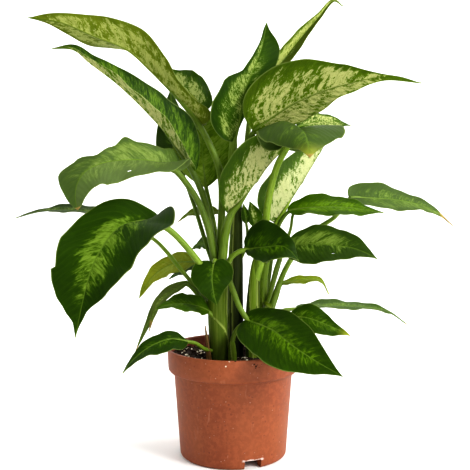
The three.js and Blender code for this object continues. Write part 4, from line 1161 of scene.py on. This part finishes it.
class Sheet:
    """Grows a piece's mesh in millimetres, with the UV maps and the marks of its points."""

    MAPS = ("blade", "veins")
    MARKS = ("marks", "tone", "cast")

    def __init__(self):
        self.points = []
        self.values = {key: [] for key in self.MAPS + self.MARKS}
        self.faces = []
        self.slots = []
        self.count = 0

    def add(self, points, faces, slots, **values):
        """Adds points and faces. A map or mark that isn't given stays at 0."""
        for key, kept in self.values.items():
            width = 2 if key in self.MAPS else 3
            kept.append(values.get(key, np.zeros((len(points), width))))
        self.points.append(points)
        self.faces.extend(tuple(corner + self.count for corner in face) for face in faces)
        self.slots.extend(slots)
        self.count += len(points)

    def build(self, name, materials):
        """The piece as an object, in metres."""
        mesh = bpy.data.meshes.new(name)
        points = np.vstack(self.points) * MM
        mesh.from_pydata(points.tolist(), [], self.faces)
        corners = np.empty(len(mesh.loops), int)
        mesh.loops.foreach_get("vertex_index", corners)
        for key in self.MAPS:
            layer = mesh.uv_layers.new(name=key)
            values = np.vstack(self.values[key])[corners]
            layer.data.foreach_set("uv", values.astype(np.float32).ravel())
        for key in self.MARKS:
            layer = mesh.attributes.new(key, "FLOAT_VECTOR", "POINT")
            values = np.vstack(self.values[key])
            layer.data.foreach_set("vector", values.astype(np.float32).ravel())
        mesh.polygons.foreach_set("material_index", self.slots)
        mesh.polygons.foreach_set("use_smooth", [True] * len(mesh.polygons))
        for material in materials:
            mesh.materials.append(material)
        mesh.set_sharp_from_angle(angle=math.radians(SHARP_ANGLE))
        mesh.update()
        piece = bpy.data.objects.new(name, mesh)
        bpy.context.scene.collection.objects.link(piece)
        return piece


def by_half(value, halves):
    """One value for the whole blade, or one for its left and one for its right half."""
    left, right = value if isinstance(value, list) else (value, value)
    return np.where(halves == 0, float(left), float(right))


def reached(x, early, length):
    """0 before 0 and 1 after it, with a soft rise that begins early and has that length."""
    return eased((x + early) / length)


def marking(look, uu, vv, off, halves):
    """What the leaf's material reads at each point: its marks, its tone and its cast."""
    start, stop = look["span"]
    cover = by_half(look["cover"], halves)
    limit = by_half(look["reach"], halves)
    cover = cover * (1 - reached(np.abs(vv) - limit, *PATCH_MARGIN))
    cover = cover * reached(uu - start, *PATCH_START) * (1 - reached(uu - stop, *PATCH_END))
    tip = look["tip"]
    brown = eased((uu - 1 + tip) / max(tip, 0.01) + DRY_EDGE) * (tip > 0)
    ripe = look["yellow"] + look["ripe"] * reached(uu - 1, RIPE_LENGTH, RIPE_LENGTH)
    rib_line = RIB_LINE["width"] - RIB_LINE["narrows"] * uu
    return {
        "marks": [cover, by_half(look["cream"], halves), off / rib_line],
        "tone": [by_half(look["base"], halves), ripe, brown],
        "cast": [by_half(look[key], halves) for key in ("fine", "grey", "streaked")],
    }


def sheet_faces(rows, columns, holes):
    """Faces of a closed sheet: its upper side, its under side and the walls between them."""
    under = (rows + 1) * columns
    tops = [
        (i * columns + j, i * columns + j + 1, (i + 1) * columns + j + 1, (i + 1) * columns + j)
        for i in range(rows)
        for j in range(columns - 1)
        if (i, j) not in holes
    ]
    bottoms = [tuple(under + corner for corner in reversed(face)) for face in tops]
    edges = {(face[k], face[(k + 1) % 4]) for face in tops for k in range(4)}
    walls = [(a, under + a, under + b, b) for a, b in sorted(edges) if (b, a) not in edges]
    slots = [0] * len(tops) + [1] * len(bottoms) + [0] * len(walls)
    return tops + bottoms + walls, slots


def blade(leaf, look, sheet, order):
    """The blade as a closed sheet with a sunk midrib and raised fields between its veins."""
    rib = Curve(leaf["rib"])
    rows = int(min(ROWS[1], max(ROWS[0], round(rib.length / ROW_STEP))))
    t = np.linspace(0, 1, rows + 1)
    u = ROW_EVENNESS * t + (1 - ROW_EVENNESS) * eased(t)
    step = np.linspace(0, 1, HALF_COLUMNS + 1)[1:] ** COLUMN_CROWDING
    v = np.concatenate([-step[::-1], [0], step])
    grid, off = surface(leaf, rib, u, v, order)
    before = np.vstack([grid[:1], grid[:-1]])
    after = np.vstack([grid[1:], grid[-1:]])
    lefts = np.concatenate([grid[:, :1], grid[:, :-1]], axis=1)
    rights = np.concatenate([grid[:, 1:], grid[:, -1:]], axis=1)
    normal = unit(np.cross(rights - lefts, after - before))
    gap = min(VEIN_GAP["most"], max(VEIN_GAP["least"], VEIN_GAP["share"] * max(leaf["width"])))
    reach = np.abs(v)[None, :]
    lean = VEIN_LEAN["at_rib"] + VEIN_LEAN["to_margin"] * reach
    vein = (u[:, None] * rib.length - off * lean) / gap
    swell = np.cos(2 * math.pi * vein) * np.sin(math.pi * reach)
    swell = swell * np.minimum(1, off / FIELD["full_width"])
    groove = np.exp(-((off / GROOVE["reach"]) ** 2)) * np.sqrt(1 - GROOVE["fades"] * u)[:, None]
    relief = FIELD["rise"] * swell - GROOVE["depth"] * groove
    ridge = RIDGE["depth"] * (1 - u)[:, None] + RIDGE["least"]
    ridge = ridge * np.exp(-((off / RIDGE["reach"]) ** 2))
    thin = THICKNESS / 2 * (1 - THINNER_MARGIN * reach**4)
    top = grid + normal * (thin + relief)[..., None]
    bottom = grid - normal * (thin - relief * UNDER_RELIEF + ridge)[..., None]
    points = np.vstack([top.reshape(-1, 3), bottom.reshape(-1, 3)])
    uu = np.broadcast_to(u[:, None], off.shape)
    vv = np.broadcast_to(v[None, :], off.shape)
    halves = np.where(vv < 0, 0, 1)
    maps = marking(look, uu, vv, off, halves)
    maps["blade"] = [uu, vv * 0.5 + 0.5]
    maps["veins"] = [vein + LEAF_SHIFT * order, off / gap + HALF_SHIFT * halves]
    values = {}
    for key, parts in maps.items():
        one_side = np.stack(parts, axis=-1).reshape(-1, len(parts))
        values[key] = np.vstack([one_side, one_side])
    holes = {
        (int(np.argmin(np.abs(u - place[0]))), int(np.argmin(np.abs(v - place[1]))))
        for place in look["holes"]
    }
    sheet.add(points, *sheet_faces(rows, len(v), holes), **values)


def tube(points, radii, sides, sheet, tones, slot=0, seam=None, brown=0.0):
    """A closed tube along points in millimetres. seam(place, turn) gives how far a sheath
    stands out there, its pale margin and its paler tone."""
    count = len(points)
    first_step, last_step = points[1:2] - points[:1], points[-1:] - points[-2:-1]
    ahead = unit(np.vstack([first_step, points[2:] - points[:-2], last_step]))
    side = np.array([1, 0.2, 0.1])
    gaps = np.concatenate([[0], np.cumsum(np.linalg.norm(np.diff(points, axis=0), axis=1))])
    rings = []
    maps = []
    extra = []
    for k in range(count):
        side = unit(side - ahead[k] * np.dot(side, ahead[k]))
        over = np.cross(ahead[k], side)
        for s in range(sides + 1):
            turn = s / sides
            grown, line, paler = seam(points[k], turn % 1.0) if seam else (0.0, 0.0, 0.0)
            radius = radii[k] + grown
            angle = 2 * math.pi * turn
            rings.append(points[k] + radius * (math.cos(angle) * side + math.sin(angle) * over))
            maps.append([gaps[k] / 10, turn])
            extra.append([tones[k] + paler, line, brown])
    across = sides + 1
    faces = [
        (k * across + s, k * across + s + 1, (k + 1) * across + s + 1, (k + 1) * across + s)
        for k in range(count - 1)
        for s in range(sides)
    ]
    first = count * across
    rings.extend([points[0], points[-1]])
    maps.extend([[0, 0.5], [gaps[-1] / 10, 0.5]])
    extra.extend([[tones[0], 0, brown], [tones[-1], 0, brown]])
    last = (count - 1) * across
    faces.extend((first, s + 1, s) for s in range(sides))
    faces.extend((first + 1, last + s, last + s + 1) for s in range(sides))
    sheet.add(rings, faces, [slot] * len(faces), blade=maps, veins=maps, tone=extra)


def stalk(leaf, look, sheet):
    """The stalk runs from its cane to the blade and on under the first part of the midrib."""
    rib = Curve(leaf["rib"])
    path = []
    for u, drop in KEEL:
        at = np.array([u])
        across = along(leaf["right"], at) - along(leaf["left"], at)
        up = unit(np.cross(across, rib.ahead(at)))
        path.append((rib.place(at) - up * drop * leaf["radii"][0])[0])
    path.extend(np.array(place, float) for place in leaf["stalk"])
    way = Curve(path)
    steps = max(STALK_LEAST_STEPS, round(way.length / STALK_STEP))
    u = np.linspace(0, 1, steps + 1)
    full = leaf["radii"][0] + (leaf["radii"][1] - leaf["radii"][0]) * u
    share = np.clip(u * way.length / (KEEL[0][0] * rib.length), 0, 1)
    radii = STALK_TIP_RADIUS + (full - STALK_TIP_RADIUS) * share
    tones = np.full(len(u), look["stalk"])
    tube(way.place(u), radii, STALK_SIDES, sheet, tones, slot=2)


def cane_way(places, steps):
    """Points and radii along a cane, from its foot in the soil."""
    lifted = [[x, y, max(z, SOIL_Z - CANE_DEPTH), r] for x, y, z, r in places]
    way = Curve(lifted)
    t = np.linspace(0, 1, steps + 1)
    radii = np.interp(t * (len(lifted) - 1), range(len(lifted)), [place[3] for place in lifted])
    return way.at(t), radii


def weld(piece):
    """Joins the doubled corners along open edges, such as a tube's seam, and fills slits."""
    grown = bmesh.new()
    grown.from_mesh(piece.data)
    rims = [vert for vert in grown.verts if vert.is_boundary]
    bmesh.ops.remove_doubles(grown, verts=rims, dist=WELD_GAP)
    slits = [edge for edge in grown.edges if edge.is_boundary]
    bmesh.ops.holes_fill(grown, edges=slits, sides=0)
    grown.to_mesh(piece.data)
    grown.free()


def stands_for(piece, node):
    """The piece rides with the object and replaces its CAD node."""
    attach(piece, BODY)
    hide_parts(node)


def grow_leaves():
    """Each leaf with its stalk."""
    skins = [leaf_skin("leaf_upper_side", False), leaf_skin("leaf_under_side", True),
             stalk_skin("stalk_skin")]
    for order, leaf in enumerate(LEAVES):
        name = leaf["name"]
        look = {**PLAIN, **LOOKS[name]}
        sheet = Sheet()
        blade(leaf, look, sheet, order)
        stalk(leaf, look, sheet)
        piece = sheet.build(name + "_with_stalk", skins)
        weld(piece)
        stands_for(piece, name)


def sheath_step(margins, height, turn):
    """How far the nearest sheath stands out there, and how near its pale margin is."""
    best = (INNER_SHEATH, 0.0)
    for margin in margins:
        heights = [place[0] for place in reversed(margin)]
        if not heights[0] <= height <= heights[-1]:
            continue
        at = np.interp(height, heights, [place[1] for place in reversed(margin)])
        past = (turn - at) % 1.0
        if 1 - past > best[0]:
            best = (1 - past, max(0.0, 1 - past / SHEATH_MARGIN))
    return best


def wrapped(look):
    """The seam of a cane whose sheaths wrap round it: thick at the margin, thin one turn on."""
    start, stop, paler = look.get("strip", NO_STRIP)

    def seam(place, turn):
        out, line = sheath_step(look["margins"], place[2], turn)
        within = min(turn - start, stop - turn) / STRIP_EDGE
        return SHEATH_THICKNESS * (out - 0.5), line, paler * float(eased(within))

    return seam


def grow_canes():
    """Each cane with its leaf sheaths, and the dry ones beside the main cane."""
    skin = cane_skin("cane_skin")
    for name, places in CANES.items():
        look = CANE_LOOKS[name]
        points, radii = cane_way(places, CANE_STEPS)
        along_cane = np.linspace(0, 1, len(radii))
        radii = radii * np.sqrt(1 - CANE_END["share"] * along_cane ** CANE_END["power"])
        tones = np.linspace(look["tone"][0], look["tone"][1], len(points))
        sheet = Sheet()
        tube(points, radii, CANE_SIDES, sheet, tones, seam=wrapped(look))
        if name == "cane_main":
            for sheath in DRY_SHEATHS:
                way, thin = cane_way(sheath, DRY_SHEATH_STEPS)
                tube(way, thin, DRY_SHEATH_SIDES, sheet, np.zeros(len(way)), brown=1.0)
        piece = sheet.build(name + "_with_sheaths", [skin])
        weld(piece)
        stands_for(piece, name)


def turned(name, profile, sides, material):
    """A closed body turned about Z, ring by ring, from radii and heights in millimetres."""
    bpy.ops.object.select_all(action="DESELECT")
    first = profile[0]
    bpy.ops.mesh.primitive_circle_add(
        vertices=sides, radius=first[0] * MM, fill_type="NGON", location=(0, 0, first[1] * MM))
    piece = bpy.context.object
    bpy.ops.object.transform_apply(location=True, rotation=False, scale=False)
    piece.name = name
    bpy.ops.object.mode_set(mode="EDIT")
    bpy.ops.mesh.select_all(action="SELECT")
    bpy.ops.mesh.normals_make_consistent(inside=False)
    for (r0, z0), (r1, z1) in zip(profile, profile[1:]):
        bpy.ops.mesh.extrude_region_move(TRANSFORM_OT_translate={"value": (0, 0, (z1 - z0) * MM)})
        bpy.ops.transform.resize(value=(r1 / r0, r1 / r0, 1), center_override=(0, 0, z1 * MM))
    bpy.ops.mesh.select_all(action="SELECT")
    bpy.ops.mesh.normals_make_consistent(inside=False)
    bpy.ops.object.mode_set(mode="OBJECT")
    piece.data.materials.append(material)
    return piece


def foot_box(order, near, far, width, low, high):
    """A block at one foot notch, from a near to a far radius."""
    angle = -math.pi / 2 + 2 * math.pi * order / FOOT_NOTCH["count"] + FOOT_NOTCH["turn"]
    bpy.ops.mesh.primitive_cube_add(
        size=1, rotation=(0, 0, angle),
        location=(*polar((near + far) / 2 * MM, angle), (low + high) / 2 * MM),
        scale=((far - near) * MM, width * MM, (high - low) * MM))
    return bpy.context.object


def make_active(piece):
    """Selects the piece alone."""
    bpy.ops.object.select_all(action="DESELECT")
    bpy.context.view_layer.objects.active = piece
    piece.select_set(True)


def cut_with(piece, cutters, operation="DIFFERENCE"):
    """Cuts the cutters out of the piece, or joins them to it, and deletes them."""
    for cutter in cutters:
        cut = piece.modifiers.new("cut", "BOOLEAN")
        cut.operation = operation
        cut.solver = "EXACT"
        cut.object = cutter
        make_active(piece)
        bpy.ops.object.modifier_apply(modifier=cut.name)
    for cutter in cutters:
        bpy.data.objects.remove(cutter)


def pot_shell(skin):
    """The turned shell: foot, wall, rim band and the inside down to the floor."""
    rim_in = RIM_RADIUS - WALL
    rim_z = POT_HEIGHT - RIM_HEIGHT
    return turned("pot_shell", [
        (8, 0), (FOOT_RADIUS - 3.4, 0), (FOOT_RADIUS - 1.8, 0.25), (FOOT_RADIUS - 0.7, 1.1),
        (FOOT_RADIUS - 0.1, 2.3), (FOOT_RADIUS + 0.1, 4.2), (BODY_TOP_RADIUS - 0.6, rim_z - 8),
        (BODY_TOP_RADIUS, rim_z - 0.2), (BODY_TOP_RADIUS + 0.5, rim_z),
        (RIM_RADIUS - 3.2, rim_z), (RIM_RADIUS - 2, rim_z + 0.5), (RIM_RADIUS - 1.1, rim_z + 1.7),
        (RIM_RADIUS - 0.8, rim_z + 3.4), (RIM_RADIUS - 0.1, POT_HEIGHT - 1.2),
        (RIM_RADIUS - 0.3, POT_HEIGHT - 0.3), (RIM_RADIUS - 0.9, POT_HEIGHT),
        (rim_in + 0.4, POT_HEIGHT), (rim_in - 0.2, POT_HEIGHT - 0.5),
        (rim_in - 0.7, POT_HEIGHT - 2), (rim_in - 2.4, rim_z + 4),
        (BODY_TOP_RADIUS - WALL, rim_z), (FOOT_RADIUS - WALL, FLOOR_Z + 1),
        (FOOT_RADIUS - WALL - 1, FLOOR_Z), (8, FLOOR_Z),
    ], POT_SIDES, skin)


def make_pot():
    """A thin shell with a channel under its floor, drain holes and notches with pockets."""
    skin = pot_skin()
    pot = pot_shell(skin)
    notches = range(FOOT_NOTCH["count"])
    inner = FOOT_RADIUS - FOOT_NOTCH["depth"]
    wide = FOOT_NOTCH["width"] + 2 * POCKET_WALL
    roof = FOOT_NOTCH["height"] + POCKET_WALL
    pockets = [
        foot_box(k, inner - POCKET_WALL, FOOT_RADIUS - WALL / 2, wide, FLOOR_Z - 1, roof)
        for k in notches
    ]
    cut_with(pot, pockets, "UNION")
    cutters = [floor_channel(skin)]
    for k in range(DRAIN["count"]):
        angle = 2 * math.pi * (k + 0.5) / DRAIN["count"]
        bpy.ops.mesh.primitive_cylinder_add(
            vertices=DRAIN_SIDES, radius=DRAIN["radius"] * MM, depth=6 * FLOOR_Z * MM,
            location=(*polar(DRAIN["ring"] * MM, angle), 0))
        cutters.append(bpy.context.object)
    cutters.extend(
        foot_box(k, inner, FOOT_RADIUS + 3, FOOT_NOTCH["width"], -1, FOOT_NOTCH["height"])
        for k in notches)
    cut_with(pot, cutters)
    soften = pot.modifiers.new("soften", "BEVEL")
    soften.limit_method = "ANGLE"
    soften.angle_limit = math.radians(BEVEL["angle"])
    soften.width = BEVEL["width"] * MM
    soften.segments = BEVEL["steps"]
    make_active(pot)
    bpy.ops.object.modifier_apply(modifier=soften.name)
    weld(pot)
    pot.data.set_sharp_from_angle(angle=math.radians(POT_SHARP_ANGLE))
    pot.data.polygons.foreach_set("use_smooth", [True] * len(pot.data.polygons))
    pot.data.update()
    stands_for(pot, "pot")


def band(near, far, sides):
    """Faces between two rings of places, given the number of each ring's first place."""
    return [
        (near + s, far + s, far + (s + 1) % sides, near + (s + 1) % sides) for s in range(sides)
    ]


def floor_channel(skin):
    """A flat ring that cuts the channel under the pot's floor."""
    sides = CHANNEL_SIDES
    inner, outer, height = (FLOOR_CHANNEL[key] for key in ("inner", "outer", "height"))
    profile = [(inner, -1), (outer, -1), (outer, height), (inner, height)]
    points = [place for radius, z in profile for place in ring_of(radius, z, sides)]
    corners = [(0, 0), (0, 1), (1, 1), (1, 0)]
    faces = [
        tuple((a + level) % 4 * sides + (s + turn) % sides for level, turn in corners)
        for a in range(4)
        for s in range(sides)
    ]
    sheet = Sheet()
    sheet.add(points, faces, [0] * len(faces))
    return sheet.build("floor_channel", [skin])


def rough(x, y):
    """Height of the soil's lumps at a place, in millimetres."""
    value = 0.0
    for size, height in LUMPS:
        value += height * noise.noise(Vector((x / size, y / size, size)))
    return value


def soil_height(x, y):
    """Height of the soil at a place: heaped towards the front and the left."""
    front = float(eased((-y - HEAP_FRONT["start"]) / HEAP_FRONT["length"]))
    left = float(eased((-x - HEAP_LEFT["start"]) / HEAP_LEFT["length"]))
    heap = SOIL_HEAP * front + HEAP_LEFT["share"] * SOIL_HEAP * left
    return SOIL_Z - SOIL_DROP + rough(x, y) + min(heap, SOIL_HEAP)


def crumb(sheet, centre, size, chance, slot):
    """One small rough grain."""
    grain = bmesh.new()
    bmesh.ops.create_icosphere(grain, subdivisions=1, radius=1.0)
    stretch = [chance.uniform(*CRUMB["wide"]) for _ in range(2)]
    stretch.append(CRUMB["flat"] * chance.uniform(*CRUMB["high"]))
    turn = chance.uniform(0, 2 * math.pi)
    points = []
    for vert in grain.verts:
        push = 1 + CRUMB["rough"] * chance.uniform(-1, 1)
        x, y, z = (vert.co[k] * stretch[k] * size * push for k in range(3))
        points.append((
            centre[0] + x * math.cos(turn) - y * math.sin(turn),
            centre[1] + x * math.sin(turn) + y * math.cos(turn), centre[2] + z))
    faces = [tuple(vert.index for vert in face.verts) for face in grain.faces]
    grain.free()
    sheet.add(points, faces, [slot] * len(faces))


def soil_body(skins):
    """The block of peat: a rough surface over two rings down the pot's inside, and its foot."""
    sides = SOIL_SIDES
    edge = RIM_RADIUS - WALL - SOIL_CLEAR["rim"]
    points = [(0.0, 0.0, soil_height(0, 0))]
    for ring in range(1, SOIL_RINGS + 1):
        level = ring_of(edge * ring / SOIL_RINGS, 0, sides)
        points.extend((x, y, soil_height(x, y)) for x, y, _ in level)
    under_band = BODY_TOP_RADIUS - WALL - SOIL_CLEAR["band"]
    points.extend(ring_of(under_band, POT_HEIGHT - RIM_HEIGHT, sides))
    foot = FOOT_RADIUS - WALL - SOIL_CLEAR["foot"]
    points.extend(ring_of(foot, FLOOR_Z + SOIL_CLEAR["floor"], sides))
    faces = [(0, 1 + s, 1 + (s + 1) % sides) for s in range(sides)]
    for ring in range(SOIL_RINGS + 1):
        faces.extend(band(1 + ring * sides, 1 + (ring + 1) * sides, sides))
    faces.append(tuple(len(points) - 1 - s for s in range(sides)))
    sheet = Sheet()
    sheet.add(points, faces, [0] * len(faces))
    return sheet.build("soil_with_crumbs", skins)


def cane_hole(name, places, skin):
    """The cutter of the hole in which a cane stands."""
    way, radii = cane_way(places, CANE_HOLE["steps"])
    hole = Sheet()
    tube(way, radii + CANE_HOLE["gap"], CANE_HOLE["sides"], hole, np.zeros(len(way)))
    cutter = hole.build(name + "_hole", [skin])
    weld(cutter)
    return cutter


def loose_grains(skins):
    """Crumbs and perlite strewn over the soil, clear of the canes, and some on the rim."""
    chance = random.Random(GRAINS["seed"])
    crumbs = Sheet()
    canes = [(places[0][0], places[0][1], places[1][3] + GRAINS["clear"]) for places in CANES.values()]
    made = 0
    while made < GRAINS["count"]:
        radius = GRAINS["ring"] * math.sqrt(chance.random())
        x, y = polar(radius, chance.uniform(0, 2 * math.pi))
        if any(math.hypot(x - cane_x, y - cane_y) < clear for cane_x, cane_y, clear in canes):
            continue
        slot = 1 if chance.random() < GRAINS["white"] else 0
        size = chance.uniform(*GRAIN_SIZE[slot])
        z = soil_height(x, y) + GRAINS["lift"] * size
        crumb(crumbs, (x, y, z), size, chance, slot)
        made += 1
    for x, z, size, slot in STUCK_GRAINS:
        y = -math.sqrt((RIM_RADIUS - STUCK_DEPTH) ** 2 - x * x)
        crumb(crumbs, (x, y, z), size, chance, slot)
    return crumbs.build("loose_grains", skins)


def make_soil():
    """Peat with crumbs and perlite up to under the rim, and a hole round each cane."""
    skins = [soil_skin(), perlite_skin()]
    body = soil_body(skins)
    cutters = [cane_hole(name, places, skins[0]) for name, places in CANES.items()]
    pocket = POCKET_WALL + SOIL_CLEAR["pocket"]
    cutters.extend(
        foot_box(k, FOOT_RADIUS - FOOT_NOTCH["depth"] - pocket, FOOT_RADIUS + 3,
                 FOOT_NOTCH["width"] + 2 * pocket, 0, FOOT_NOTCH["height"] + pocket)
        for k in range(FOOT_NOTCH["count"]))
    cut_with(body, cutters)
    loose = loose_grains(skins)
    make_active(body)
    loose.select_set(True)
    bpy.ops.object.join()
    stands_for(body, "soil")


def make_floor():
    """A plain pale floor that runs up behind in one sheet."""
    width, front, back, bend, height = 3.0, -2.5, 1.6, 0.7, 2.6
    steps = 24
    profile = [(front, 0.0)]
    for k in range(steps + 1):
        angle = math.pi / 2 * k / steps
        profile.append((back + bend * math.sin(angle), bend * (1 - math.cos(angle))))
    profile.append((back + bend, height))
    points = [(x, y, z) for y, z in profile for x in (-width, width)]
    faces = [(2 * k, 2 * k + 1, 2 * k + 3, 2 * k + 2) for k in range(len(profile) - 1)]
    mesh = bpy.data.meshes.new("studio_floor")
    mesh.from_pydata(points, [], faces)
    mesh.polygons.foreach_set("use_smooth", [True] * len(mesh.polygons))
    mesh.materials.append(floor_skin())
    floor = bpy.data.objects.new("studio_floor", mesh)
    bpy.context.scene.collection.objects.link(floor)


def area_light(name, place, target, size, power):
    """A soft round light that shines at the target."""
    data = bpy.data.lights.new(name, "AREA")
    data.shape = "DISK"
    data.size = size
    data.energy = power
    light = bpy.data.objects.new(name, data)
    light.location = place
    way = Vector(target) - Vector(place)
    light.rotation_euler = way.to_track_quat("-Z", "Y").to_euler()
    bpy.context.scene.collection.objects.link(light)


def make_light():
    """Plain soft studio light."""
    world = bpy.data.worlds.new("studio")
    bpy.context.scene.world = world
    world.use_nodes = True
    back = world.node_tree.nodes["Background"]
    back.inputs["Color"].default_value = (1, 1, 1, 1)
    back.inputs["Strength"].default_value = WORLD_LIGHT
    for light in LIGHTS:
        area_light(*light)
    scene = bpy.context.scene
    scene.view_settings.view_transform = "Standard"
    scene.view_settings.look = "High Contrast"


def make_camera():
    """The photograph's view."""
    data = bpy.data.cameras.new("photo_view")
    data.sensor_width = SENSOR
    data.lens = FOCAL_PIXELS / PHOTO_SIDE * SENSOR
    data.clip_start = 0.01
    camera = bpy.data.objects.new("photo_view", data)
    camera.location = CAMERA_PLACE
    camera.rotation_euler = (math.pi / 2 - CAMERA_DIP, 0, 0)
    bpy.context.scene.collection.objects.link(camera)
    bpy.context.scene.camera = camera


make_camera()
bpy.ops.object.select_all(action="DESELECT")
make_floor()
make_light()
make_pot()
make_soil()
grow_canes()
grow_leaves()
